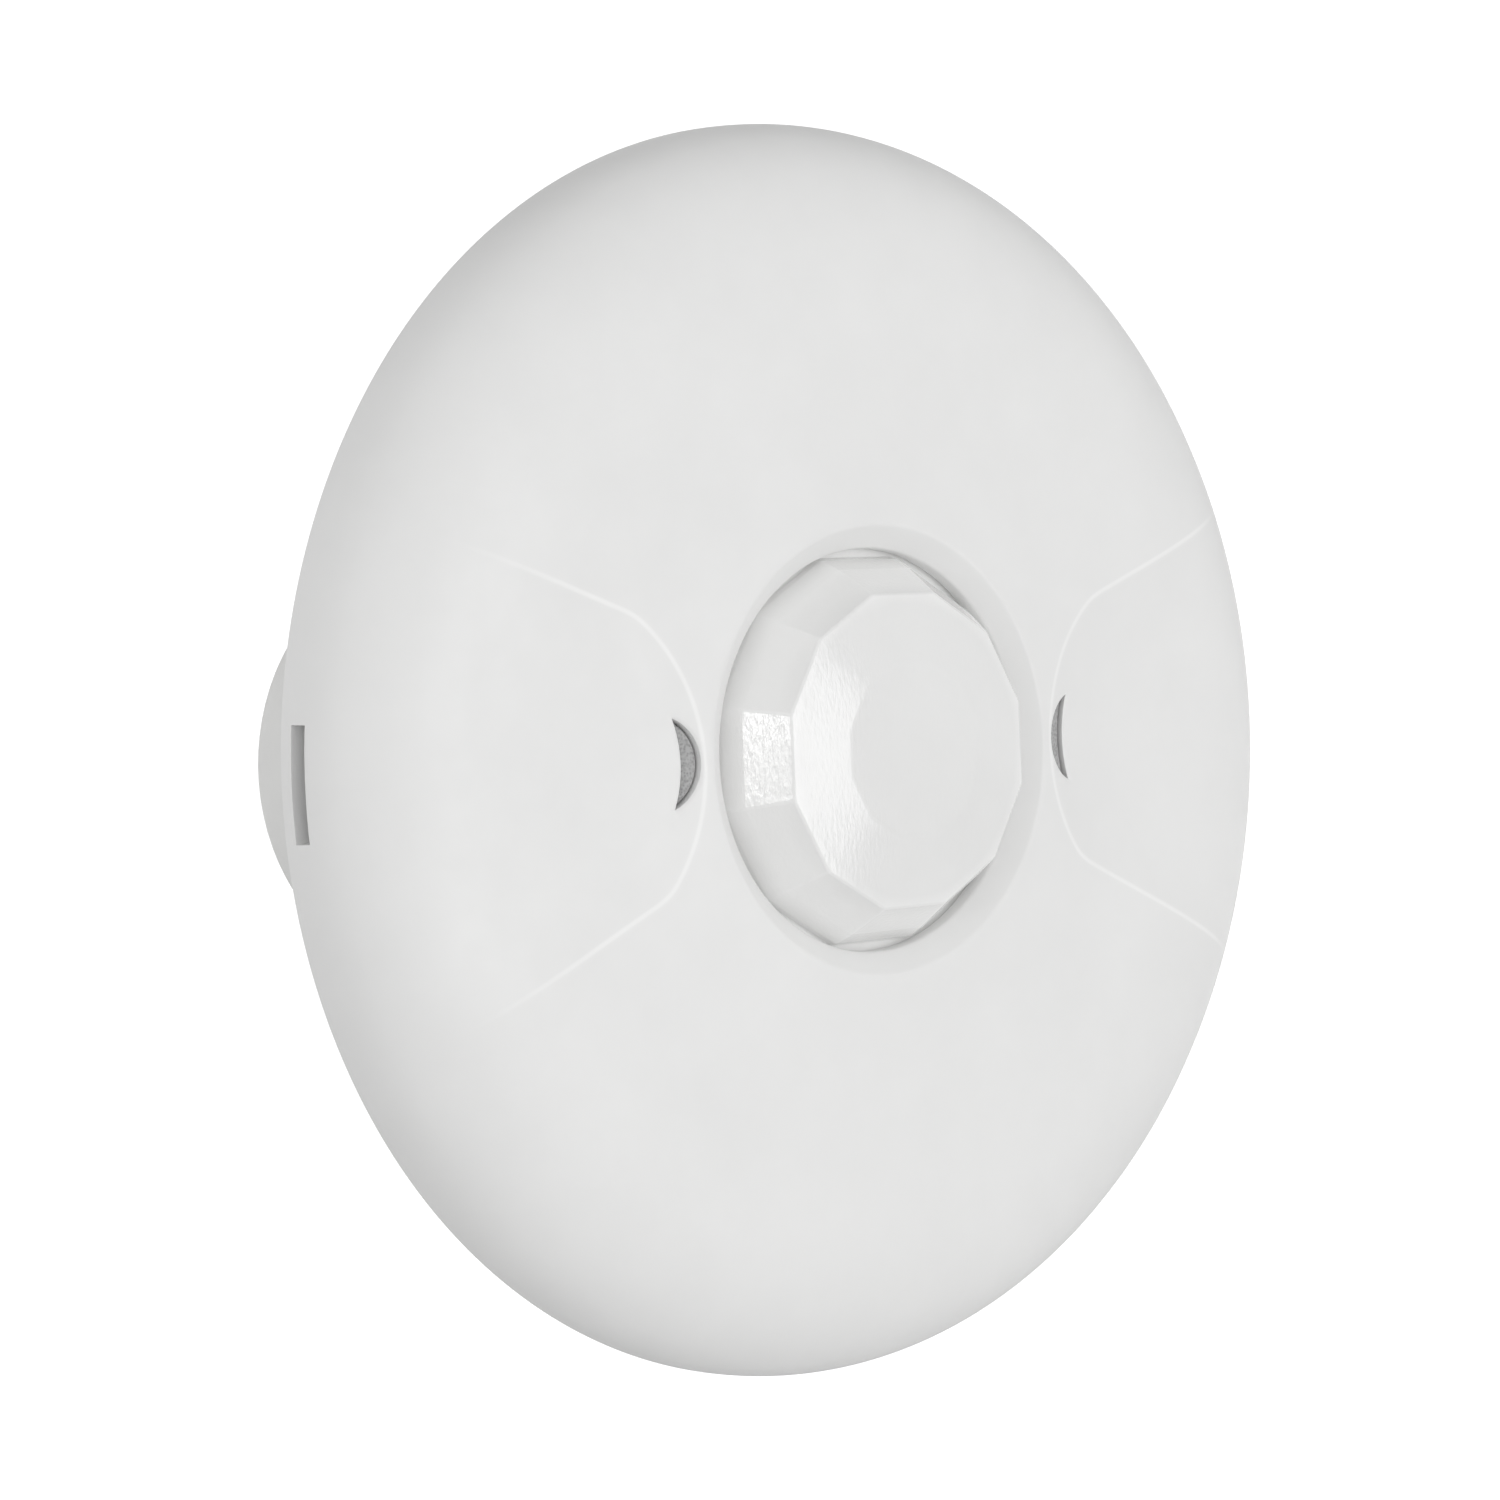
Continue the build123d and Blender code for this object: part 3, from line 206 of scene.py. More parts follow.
def circle_through(a, b, c):
    """Centre and radius of the circle through three 2-D points."""
    rows = np.array([b - a, c - a]) * 2
    sides = np.array([b @ b - a @ a, c @ c - a @ a])
    centre = np.linalg.solve(rows, sides)
    return centre, float(np.linalg.norm(a - centre))


def smooth_max(a, b, width):
    """The larger of two fields, rounded where they cross."""
    share = np.clip(0.5 + 0.5 * (a - b) / width, 0, 1)
    return b + (a - b) * share + width * share * (1 - share)


def smooth_step(low, high, value):
    share = np.clip((value - low) / (high - low), 0, 1)
    return share * share * (3 - 2 * share)


def to_world(points):
    """(x, z, height) rows in millimetres to scene points in metres."""
    points = np.asarray(points, float)
    return np.stack([points[:, 0], -points[:, 2], points[:, 1]], axis=1) * MM


def mesh_object(name, vertices, faces, sharp=35.0, weld=1e-7):
    """A welded mesh object with outward faces, smooth except at sharp edges."""
    mesh = bpy.data.meshes.new(name)
    mesh.from_pydata([tuple(v) for v in vertices], [], [tuple(int(i) for i in f) for f in faces])
    work = bmesh.new()
    work.from_mesh(mesh)
    bmesh.ops.remove_doubles(work, verts=work.verts, dist=weld)
    bmesh.ops.recalc_face_normals(work, faces=work.faces)
    work.to_mesh(mesh)
    work.free()
    return link_mesh(name, mesh, sharp)


def link_mesh(name, mesh, sharp=35.0):
    for polygon in mesh.polygons:
        polygon.use_smooth = True
    mesh.set_sharp_from_angle(angle=radians(sharp))
    piece = bpy.data.objects.new(name, mesh)
    bpy.context.scene.collection.objects.link(piece)
    return piece


def dress(piece, material, body, stands_for=()):
    """Give a piece its material and body, and hide the CAD nodes that it stands for."""
    piece.data.materials.clear()
    piece.data.materials.append(material)
    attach(piece, body)
    if stands_for:
        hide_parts(*stands_for)
    return piece


# ------------------------------------------------------------------ cover shape

arc_centre, arc_radius = circle_through(SCOOP_HIGH, SCOOP_NEAR, SCOOP_LOW)
slot_tips = np.array([SLOT_TIP, (SLOT_TIP[0], -SLOT_TIP[1])])
near_centre, near_radius = circle_through(slot_tips[0], np.array((SLOT_NEAR_X, 0.0)), slot_tips[1])
far_centre, far_radius = circle_through(slot_tips[0], np.array((SLOT_FAR_X, 0.0)), slot_tips[1])


def scoop_field(x, z):
    """Signed distance from the nearest scoop's outline, negative inside."""
    point = np.stack([np.abs(x), z], axis=-1)
    away = point - arc_centre
    high_normal = (SCOOP_HIGH - arc_centre) / arc_radius
    low_normal = (SCOOP_LOW - arc_centre) / arc_radius
    turn = np.mod(np.arctan2(away[..., 1], away[..., 0]), 2 * pi)
    high_turn = np.mod(np.arctan2(high_normal[1], high_normal[0]), 2 * pi)
    low_turn = np.mod(np.arctan2(low_normal[1], low_normal[0]), 2 * pi)
    beside = np.maximum(away @ high_normal, away @ low_normal) - arc_radius
    along = np.linalg.norm(away, axis=-1) - arc_radius
    arc = np.where((turn > high_turn) & (turn < low_turn), along, beside)
    high = (point - SCOOP_HIGH) @ np.array((-sin(SCOOP_HIGH_ARM), cos(SCOOP_HIGH_ARM)))
    low = (point - SCOOP_LOW) @ np.array((sin(SCOOP_LOW_ARM), -cos(SCOOP_LOW_ARM)))
    return smooth_max(smooth_max(arc, high, SCOOP_HIGH_SOFT), low, SCOOP_LOW_SOFT)


def slot_field(x, z):
    """Signed distance from the nearest sound slot's outline, negative inside."""
    point = np.stack([np.abs(x), z], axis=-1)
    near = np.linalg.norm(point - near_centre, axis=-1) - near_radius
    far = far_radius - np.linalg.norm(point - far_centre, axis=-1)
    return np.maximum(near, far)


def dome_height(radius):
    """Height of the cover's face and rounded rim, without the scoops."""
    share = np.clip((radius - RIM_START_R) / (COVER_R - RIM_START_R), 0, 1)
    rim = (1 - share**RIM_POWER_R) ** (1 / RIM_POWER_HEIGHT)
    crown = CROWN_RISE * np.clip((CROWN_R - radius) / (CROWN_R - BEVEL_R), 0, None) ** 2
    return WAIST_HEIGHT + (FACE_HEIGHT - WAIST_HEIGHT) * rim + crown


def scoop_depth(x, z):
    radius = np.hypot(x, z)
    inside = -scoop_field(x, z)
    inside = (inside + np.sqrt(inside**2 + SCOOP_EDGE_SOFT**2)) / 2
    run = np.clip(inside / SCOOP_RUN, 0, 1)
    fade = 1 - smooth_step(*SCOOP_FADE, radius)
    return SCOOP_DEPTH * (1 - (1 - run) ** 2) * fade


def face_height(x, z):
    """Height of the finished face with its scoops and rounded slot edges."""
    edge = np.clip(1 - slot_field(x, z) / SLOT_EDGE, 0, 1)
    return dome_height(np.hypot(x, z)) - scoop_depth(x, z) - SLOT_EDGE_DROP * edge**2


def contour(field, centre, offset, turns, reach):
    """Points where a field equals offset, along rays from a centre inside it."""
    near = np.zeros(len(turns))
    far = np.full(len(turns), reach)
    for _ in range(40):
        middle = (near + far) / 2
        x = centre[0] + middle * np.cos(turns)
        z = centre[1] + middle * np.sin(turns)
        outside = field(x, z) > offset
        far = np.where(outside, middle, far)
        near = np.where(outside, near, middle)
    return np.stack([centre[0] + near * np.cos(turns), centre[1] + near * np.sin(turns)], axis=1)


def even_spacing(line, step, closed=False):
    """The same line with points a step apart."""
    if closed:
        line = np.vstack([line, line[:1]])
    lengths = np.concatenate([[0], np.cumsum(np.linalg.norm(np.diff(line, axis=0), axis=1))])
    count = max(3, int(round(lengths[-1] / step)))
    stops = np.linspace(0, lengths[-1], count + 1)
    even = np.stack([np.interp(stops, lengths, line[:, axis]) for axis in (0, 1)], axis=1)
    return even[:-1] if closed else even


def ring(radius):
    turns = np.arange(COLUMNS) * 2 * pi / COLUMNS
    return np.stack([radius * np.cos(turns), radius * np.sin(turns)], axis=1)


def mirrored(line):
    """A right-hand line and its mirror image on the left."""
    return [line, line * np.array((-1, 1))]


def flat_mesh(lines, fill, keep):
    """Triangles over a plane, with edges along the given (points, closed) lines."""
    points = []
    edges = []
    for line, closed in lines:
        first = len(points)
        points += [Vector(p) for p in line]
        edges += [(first + i, first + i + 1) for i in range(len(line) - 1)]
        if closed:
            edges.append((first + len(line) - 1, first))
    points += [Vector(p) for p in fill]
    vertices, _, faces, *_ = delaunay_2d_cdt(points, edges, [], 0, 1e-6)
    vertices = np.array([tuple(v) for v in vertices])
    centres = np.array([vertices[f].mean(axis=0) for f in map(list, faces)])
    kept = keep(centres[:, 0], centres[:, 1])
    return vertices, [list(f) for f, k in zip(faces, kept) if k]


def slot_line(offset, step=0.16):
    turns = np.linspace(0, 2 * pi, 721)[:-1]
    line = contour(slot_field, SLOT_CENTRE, offset, turns, 8.0)
    return even_spacing(line, step, closed=True)


def cover_face():
    """The face between the lens bevel and the rim, following scoops and slots."""
    lines = [(ring(FACE_INNER_R), True), (ring(FACE_OUTER_R), True)]
    turns = np.linspace(radians(70), radians(290), 900)
    for offset in FACE_LEVELS:
        line = contour(scoop_field, SCOOP_CENTRE, offset, turns, 60.0)
        line = even_spacing(line, 0.5)
        radius = np.hypot(line[:, 0], line[:, 1])
        line = line[(radius < FACE_OUTER_R - 0.3) & (radius > FACE_INNER_R + 0.15)]
        line = line[slot_field(line[:, 0], line[:, 1]) > SLOT_EDGE + 0.08]
        gaps = np.flatnonzero(np.linalg.norm(np.diff(line, axis=0), axis=1) > 1.0)
        for stretch in np.split(line, gaps + 1):
            if len(stretch) > 1:
                lines += [(side, False) for side in mirrored(stretch)]
    for offset in (0.0, 0.12, SLOT_EDGE):
        lines += [(side, True) for side in mirrored(slot_line(offset))]
    fill = []
    for radius in np.arange(FACE_INNER_R + 0.5, FACE_OUTER_R - 0.4, FACE_STEP):
        count = int(2 * pi * radius / FACE_STEP)
        turns = (np.arange(count) + 0.5 * (len(fill) % 2)) * 2 * pi / count
        fill.append(np.stack([radius * np.cos(turns), radius * np.sin(turns)], axis=1))
    fill = np.vstack(fill)
    scoop_distance = scoop_field(fill[:, 0], fill[:, 1])
    clear = (scoop_distance > 1.0) | (scoop_distance < -2.8)
    clear &= slot_field(fill[:, 0], fill[:, 1]) > 0.7

    def keep(x, z):
        radius = np.hypot(x, z)
        return (radius > FACE_INNER_R - 0.01) & (radius < FACE_OUTER_R) & (slot_field(x, z) > 0)

    flat, faces = flat_mesh(lines, fill[clear], keep)
    heights = face_height(flat[:, 0], flat[:, 1])
    return np.column_stack([flat, heights]), faces


def cover_underside():
    """The flat underside of the face, with the slots open."""
    lines = [(ring(OPENING_R), True), (ring(RIM_START_R), True)]
    lines += [(side, True) for side in mirrored(slot_line(0.0))]
    fill = np.vstack([ring(radius)[::6] for radius in UNDERSIDE_RINGS])
    fill = fill[slot_field(fill[:, 0], fill[:, 1]) > 0.8]

    def keep(x, z):
        radius = np.hypot(x, z)
        return (radius > OPENING_R - 0.01) & (radius < RIM_START_R) & (slot_field(x, z) > 0)

    flat, faces = flat_mesh(lines, fill, keep)
    return np.column_stack([flat, np.full(len(flat), COVER_INNER_HEIGHT)]), faces


def rim_curve(reach, rise, first_turn, rows):
    """Radius and height rows down a superellipse, from first_turn to its widest radius."""
    turns = np.linspace(first_turn, 0, rows)
    radius = RIM_START_R + reach * np.clip(np.cos(turns), 0, None) ** (2 / RIM_POWER_R)
    return np.column_stack([radius, WAIST_HEIGHT + rise * np.sin(turns) ** (2 / RIM_POWER_HEIGHT)])


def rim_at(reach, rise, height):
    """Radius and height of that superellipse at one height."""
    sine = ((height - WAIST_HEIGHT) / rise) ** (RIM_POWER_HEIGHT / 2)
    return RIM_START_R + reach * (1 - sine**2) ** (1 / RIM_POWER_R), height


def back_wall(waist_r, back_r, heights):
    """Radius and height rows of the straight wall behind the widest radius."""
    lean = (waist_r - back_r) / (WAIST_HEIGHT - COVER_BACK_HEIGHT)
    return np.array([(waist_r - lean * (WAIST_HEIGHT - h), h) for h in heights])


def spun(profile):
    """A profile of (radius, height) rows turned round the axis, as vertices and quads."""
    turns = np.arange(COLUMNS) * 2 * pi / COLUMNS
    vertices = np.vstack([
        np.column_stack([r * np.cos(turns), r * np.sin(turns), np.full(COLUMNS, h)]) for r, h in profile
    ])
    faces = []
    for row in range(len(profile) - 1):
        for column in range(COLUMNS):
            after = (column + 1) % COLUMNS
            faces.append((
                row * COLUMNS + column,
                row * COLUMNS + after,
                (row + 1) * COLUMNS + after,
                (row + 1) * COLUMNS + column,
            ))
    return vertices, faces


def with_slot_rows(rows, reach, rise):
    """Rim rows with two more at the pry slot's edges, from the front to the back."""
    edges = [rim_at(reach, rise, height) for height in (PRY_SLOT_BACK, PRY_SLOT_FRONT)]
    near = [min(abs(h - PRY_SLOT_BACK), abs(h - PRY_SLOT_FRONT)) for _, h in rows]
    rows = [tuple(row) for row, gap in zip(rows, near) if gap > PRY_SLOT_ROW_GAP]
    return np.array(sorted(rows + edges, key=lambda row: -row[1]))


def cover_rim():
    """The rounded rim, back wall and inner wall, with the pry slot left open."""
    reach, rise = COVER_R - RIM_START_R, FACE_HEIGHT - WAIST_HEIGHT
    inner_reach, inner_rise = COVER_INNER_R - RIM_START_R, COVER_INNER_HEIGHT - WAIST_HEIGHT
    start = acos(((FACE_OUTER_R - RIM_START_R) / reach) ** (RIM_POWER_R / 2))
    outer = with_slot_rows(rim_curve(reach, rise, start, RIM_ROWS), reach, rise)
    outer_back = back_wall(COVER_R, COVER_BACK_R, OUTER_BACK_ROWS)
    outer_edge = np.array(OUTER_EDGE) + (COVER_BACK_R, COVER_BACK_HEIGHT)
    inner_edge = np.array(INNER_EDGE) + (COVER_INNER_BACK_R, COVER_BACK_HEIGHT)
    inner_back = back_wall(COVER_INNER_R, COVER_INNER_BACK_R, INNER_BACK_ROWS)
    inner = rim_curve(inner_reach, inner_rise, pi / 2, INNER_RIM_ROWS)
    inner = with_slot_rows(inner, inner_reach, inner_rise)[::-1]
    profile = np.vstack([outer, outer_back, outer_edge, inner_edge, inner_back, inner])
    vertices, faces = spun(profile)
    outer_front, inner_front = np.flatnonzero(profile[:, 1] == PRY_SLOT_FRONT)
    outer_rear, inner_rear = np.flatnonzero(profile[:, 1] == PRY_SLOT_BACK)
    half = COLUMNS // 2
    slot = range(half - PRY_SLOT_COLUMNS, half + PRY_SLOT_COLUMNS)
    kept = []
    for index, face in enumerate(faces):
        row, column = divmod(index, COLUMNS)
        in_wall = outer_front <= row < outer_rear or inner_rear <= row < inner_front
        if not (column in slot and in_wall):
            kept.append(face)
    for column in slot:
        for outside, inside in ((outer_front, inner_front), (outer_rear, inner_rear)):
            kept.append((
                outside * COLUMNS + column,
                outside * COLUMNS + column + 1,
                inside * COLUMNS + column + 1,
                inside * COLUMNS + column,
            ))
    around = [*range(outer_front, outer_rear + 1), *range(inner_rear, inner_front + 1)]
    for column in (slot.start, slot.stop):
        kept.append([row * COLUMNS + column for row in around])
    return vertices, kept


def lens_bevel():
    """The sloping ring round the lens opening, with soft edges."""
    start = (FACE_INNER_R, float(dome_height(np.array(FACE_INNER_R))))
    return spun([start, *BEVEL_PROFILE, (OPENING_R, COVER_INNER_HEIGHT)])


def slot_walls():
    """Walls of the sound slots, from the face down to the underside."""
    vertices = []
    faces = []
    for line in mirrored(slot_line(0.0)):
        first = len(vertices)
        count = len(line)
        tops = face_height(line[:, 0], line[:, 1])
        vertices += [(x, z, h) for (x, z), h in zip(line, tops)]
        vertices += [(x, z, COVER_INNER_HEIGHT) for x, z in line]
        for i in range(count):
            after = (i + 1) % count
            faces.append((first + i, first + after, first + count + after, first + count + i))
    return np.array(vertices), faces


def swept_outline(outline, turn, half_width):
    """A (radius, height) outline made into a bar across the radius at an angle."""
    along = np.array((cos(turn), sin(turn)))
    across = np.array((-sin(turn), cos(turn)))
    vertices = []
    for side in (-half_width, half_width):
        vertices += [(*(along * r + across * side), h) for r, h in outline]
    count = len(outline)
    faces = [tuple(range(count)), tuple(range(2 * count - 1, count - 1, -1))]
    faces += [(i, (i + 1) % count, count + (i + 1) % count, count + i) for i in range(count)]
    return np.array(vertices), faces


def gather(pieces):
    """Several (vertices, faces) pairs as one."""
    vertices = []
    faces = []
    for points, polygons in pieces:
        first = sum(len(v) for v in vertices)
        vertices.append(np.asarray(points, float))
        faces += [tuple(first + i for i in polygon) for polygon in polygons]
    return np.vstack(vertices), faces


def build_cover():
    shell = gather([cover_face(), cover_underside(), cover_rim(), lens_bevel(), slot_walls()])
    bars = [swept_outline(HOOK_OUTLINE, radians(45 + 90 * i), HOOK_HALF_WIDTH) for i in range(4)]
    bars += [swept_outline(RIB_OUTLINE, radians(22.5 + 45 * i), RIB_HALF_WIDTH) for i in range(8)]
    vertices, faces = gather([shell] + bars)
    return mesh_object("cover_shell", to_world(vertices), faces, sharp=32, weld=2e-6)


# ------------------------------------------------------------------ materials


class Surface:
    """A material made of nodes round one Principled shader."""

    def __init__(self, name, roughness=0.5, metallic=0.0, **sockets):
        self.material = bpy.data.materials.new(name)
        self.material.use_nodes = True
        self.nodes = self.material.node_tree.nodes
        self.links = self.material.node_tree.links
        self.shader = self.nodes["Principled BSDF"]
        self.place = self.nodes.new("ShaderNodeTexCoord").outputs["Object"]
        self.shader.inputs["Roughness"].default_value = roughness
        self.shader.inputs["Metallic"].default_value = metallic
        for socket, value in sockets.items():
            self.shader.inputs[socket.replace("_", " ")].default_value = value

    def node(self, kind, inputs=None, **settings):
        made = self.nodes.new(kind)
        for key, value in settings.items():
            setattr(made, key, value)
        for key, value in (inputs or {}).items():
            if hasattr(value, "is_linked"):
                self.links.new(value, made.inputs[key])
            else:
                made.inputs[key].default_value = value
        return made

    def noise(self, size, detail=3.0, stretch=None):
        """A noise of about this feature size in millimetres, from 0 to 1."""
        place = self.place
        if stretch:
            place = self.node("ShaderNodeMapping", {0: place, "Scale": stretch}).outputs[0]
        inputs = {"Vector": place, "Scale": 1000.0 / size, "Detail": detail, "Roughness": 0.55}
        return self.node("ShaderNodeTexNoise", inputs).outputs["Fac"]

    def cells(self, size):
        """Distance from the middles of soft cells of about this size in millimetres."""
        inputs = {"Vector": self.place, "Scale": 1000.0 / size}
        return self.node("ShaderNodeTexVoronoi", inputs, feature="SMOOTH_F1").outputs["Distance"]

    def ramp(self, value, low, high):
        """A colour from one (position, colour) stop to another."""
        made = self.node("ShaderNodeValToRGB", {0: value})
        for element, (position, colour) in zip(made.color_ramp.elements, (low, high)):
            element.position = position
            element.color = (*colour, 1.0)
        return made.outputs["Color"]

    def span(self, value, low, high, start=0.3, stop=0.7):
        """A value stretched from start..stop to low..high."""
        inputs = {0: value, 1: start, 2: stop, 3: low, 4: high}
        return self.node("ShaderNodeMapRange", inputs).outputs[0]

    def mix(self, share, a, b, blend="MIX"):
        made = self.node("ShaderNodeMix", data_type="RGBA", blend_type=blend)
        for key, value in ((0, share), (6, a), (7, b)):
            if hasattr(value, "is_linked"):
                self.links.new(value, made.inputs[key])
            else:
                made.inputs[key].default_value = (*value, 1.0) if isinstance(value, tuple) else value
        return made.outputs[2]

    def colour(self, value):
        self.links.new(value, self.shader.inputs["Base Color"])
        return self

    def rough(self, value):
        self.links.new(value, self.shader.inputs["Roughness"])
        return self

    def bump(self, value, depth):
        """Height from 0 to 1 over this depth in millimetres."""
        made = self.node("ShaderNodeBump", {"Height": value, "Distance": depth * MM, "Strength": 1.0})
        self.links.new(made.outputs[0], self.shader.inputs["Normal"])
        return self


def shade(colour, factor):
    return tuple(min(1.0, c * factor) for c in colour)


def plastic(name, colour, roughness=0.4, change=0.04, grain=0.25, depth=0.004, **sockets):
    """Moulded plastic: faint cloudy colour, uneven gloss and a fine spark texture."""
    made = Surface(name, roughness, **sockets)
    cloud = made.noise(7.0, 4.0)
    made.colour(made.ramp(cloud, (0.3, shade(colour, 1 - change)), (0.7, shade(colour, 1 + change))))
    made.rough(made.span(made.noise(2.5, 3.0), roughness - 0.04, roughness + 0.04))
    return made.bump(made.noise(grain, 2.0), depth)


def metal(name, colour, roughness=0.3, stretch=(1.0, 12.0, 1.0)):
    """Metal with drawn or rolled streaks and slightly dull patches."""
    made = Surface(name, roughness, 1.0)
    streaks = made.noise(0.6, 3.0, stretch=stretch)
    patches = made.noise(3.0, 3.0)
    made.colour(made.ramp(patches, (0.3, shade(colour, 0.92)), (0.7, shade(colour, 1.08))))
    made.rough(made.span(streaks, roughness - 0.07, roughness + 0.1))
    return made.bump(streaks, 0.003)


def cover_plastic(colour=(0.80, 0.80, 0.795)):
    """The cover's plastic, with a painted highlight along the scoops' edges."""
    made = Surface("cover_plastic", 0.48)
    cloud = made.noise(9.0, 4.0)
    base = made.ramp(cloud, (0.3, shade(colour, 0.985)), (0.7, shade(colour, 1.012)))
    line = made.node("ShaderNodeAttribute", attribute_name="painted_edge_highlight").outputs["Fac"]
    # Painted highlight: the base colour turns paler along the scoops' rounded edges, where they would
    # catch the light.
    made.colour(made.mix(line, base, shade(colour, 1.12)))
    made.rough(made.span(made.noise(2.0, 3.0), 0.42, 0.54))
    return made.bump(made.noise(0.28, 2.0), 0.003)


def foam(name, colour, size=0.35, depth=0.12, contrast=0.35):
    """Open foam or cloth: dark pores between pale strands."""
    made = Surface(name, 0.95)
    pores = made.cells(size)
    patch = made.noise(1.5, 3.0)
    base = made.ramp(pores, (0.05, shade(colour, 1 - contrast)), (0.6, shade(colour, 1 + contrast / 2)))
    tone = made.ramp(patch, (0.3, (0.93, 0.93, 0.93)), (0.7, (1.0, 1.0, 1.0)))
    made.colour(made.mix(1.0, base, tone, "MULTIPLY"))
    return made.bump(pores, depth)


def milk(name):
    """Milky lens plastic with glossy moulded facets and a painted glow towards its rim."""
    made = Surface(name, 0.1, IOR=1.52)
    cloud = made.noise(9.0, 2.0)
    made.colour(made.ramp(cloud, (0.35, (0.79, 0.79, 0.785)), (0.65, (0.805, 0.805, 0.8))))
    made.rough(made.span(made.noise(3.0, 2.0), 0.09, 0.14))
    # Painted light: the lens glows faintly towards its rim, brightening its shaded edge by the opening.
    across = made.node(
        "ShaderNodeVectorMath", {0: made.place, 1: (1.0, 0.0, 1.0)}, operation="MULTIPLY"
    ).outputs[0]
    radius = made.node("ShaderNodeVectorMath", {0: across}, operation="LENGTH").outputs["Value"]
    glow = made.span(radius, 0.0, 0.075, 0.0130, 0.0150)
    made.shader.inputs["Emission Color"].default_value = (1.0, 1.0, 0.98, 1.0)
    made.links.new(glow, made.shader.inputs["Emission Strength"])
    return made.bump(made.noise(0.9, 2.0, stretch=(3.0, 3.0, 1.0)), 0.02)


def woven(name, colour, pitch=0.32):
    """Fine wire cloth: two sets of round wires with dark gaps between them."""
    made = Surface(name, 0.35, 1.0)
    split = made.node("ShaderNodeSeparateXYZ", {0: made.place}).outputs
    wires = []
    for axis in ("X", "Z"):
        scaled = {0: split[axis], 1: 2 * pi / (pitch * MM)}
        turns = made.node("ShaderNodeMath", scaled, operation="MULTIPLY")
        wave = made.node("ShaderNodeMath", {0: turns.outputs[0]}, operation="SINE")
        wires.append(made.span(wave.outputs[0], 0.0, 1.0, -1.0, 1.0))
    cloth = made.node("ShaderNodeMath", {0: wires[0], 1: wires[1]}, operation="MAXIMUM").outputs[0]
    dark = made.ramp(cloth, (0.55, shade(colour, 0.12)), (0.75, colour))
    tone = made.ramp(made.noise(2.5), (0.3, (0.88, 0.88, 0.88)), (0.7, (1.0, 1.0, 1.0)))
    made.colour(made.mix(1.0, dark, tone, "MULTIPLY"))
    return made.bump(cloth, 0.05)


LED_DEPTH = {"Subsurface_Weight": 0.2, "Subsurface_Scale": 0.002}
PAINTS = {
    "cover_white": cover_plastic(),
    "base_white": plastic("base_plastic", (0.76, 0.76, 0.75), 0.5, 0.02, 0.3, 0.004),
    "lens_milk": milk("lens_plastic"),
    "tower_black": plastic("tower_plastic", (0.018, 0.018, 0.02), 0.5, 0.15, 0.3, 0.006),
    "screw_steel": metal("screw_metal", (0.62, 0.62, 0.6), 0.3),
    "can_metal": metal("can_metal", (0.7, 0.66, 0.58), 0.25),
    "filter_dark": plastic("filter_glass", (0.02, 0.015, 0.02), 0.15, 0.2, 0.5, 0.001),
    "leg_tin": metal("leg_metal", (0.66, 0.66, 0.64), 0.3, stretch=(1.0, 1.0, 8.0)),
    "spacer_clear": plastic("spacer_plastic", (0.78, 0.78, 0.72), 0.35, 0.03),
    "transducer_metal": metal("transducer_metal", (0.6, 0.6, 0.6), 0.32),
    "mesh_grey": woven("mesh_metal", (0.55, 0.55, 0.55)),
    "boot_rubber": plastic("boot_rubber", (0.02, 0.02, 0.022), 0.75, 0.2, 0.4, 0.01),
    "gasket_foam": foam("gasket_foam", (0.06, 0.06, 0.065)),
    "screen_foam": foam("screen_foam", (0.4, 0.4, 0.4), 0.22, 0.05, 0.3),
    "cone_resin": plastic("cone_resin", (0.55, 0.42, 0.2), 0.35, 0.08),
    "led_red": plastic("led_red_plastic", (0.55, 0.02, 0.015), 0.15, 0.1, **LED_DEPTH),
    "led_green": plastic("led_green_plastic", (0.03, 0.4, 0.06), 0.15, 0.1, **LED_DEPTH),
    "photocell_face": plastic("photocell_face", (0.5, 0.16, 0.05), 0.25, 0.1),
    "trimmer_white": plastic("trimmer_plastic", (0.74, 0.74, 0.7), 0.4, 0.03),
    "dial_blue": plastic("dial_blue_plastic", (0.03, 0.12, 0.5), 0.35, 0.08),
    "dial_red": plastic("dial_red_plastic", (0.55, 0.03, 0.02), 0.35, 0.08),
    "dial_green": plastic("dial_green_plastic", (0.03, 0.32, 0.08), 0.35, 0.08),
    "dial_black": plastic("dial_black_plastic", (0.025, 0.025, 0.027), 0.35, 0.15),
    "bank_red": plastic("bank_plastic", (0.5, 0.03, 0.02), 0.35, 0.06),
    "slider_white": plastic("slider_plastic", (0.8, 0.8, 0.78), 0.35, 0.03),
    "chip_black": plastic("chip_plastic", (0.02, 0.02, 0.021), 0.45, 0.15, 0.15, 0.006),
    "chip_tan": plastic("chip_ceramic", (0.42, 0.3, 0.17), 0.4, 0.08),
    "relay_blue": plastic("relay_plastic", (0.03, 0.09, 0.4), 0.3, 0.06),
    "can_sleeve": plastic("can_sleeve", (0.03, 0.035, 0.09), 0.3, 0.12),
    "terminal_green": plastic("terminal_plastic", (0.03, 0.3, 0.1), 0.4, 0.06),
    "board_green": plastic("board_mask", (0.02, 0.16, 0.06), 0.3, 0.12),
}
PAINTS = {slot: paint.material for slot, paint in PAINTS.items()}

for name, node in NODES.items():
    node.data.materials.clear()
    node.data.materials.append(PAINTS[SLOTS[name]])

# ------------------------------------------------------------------ cover


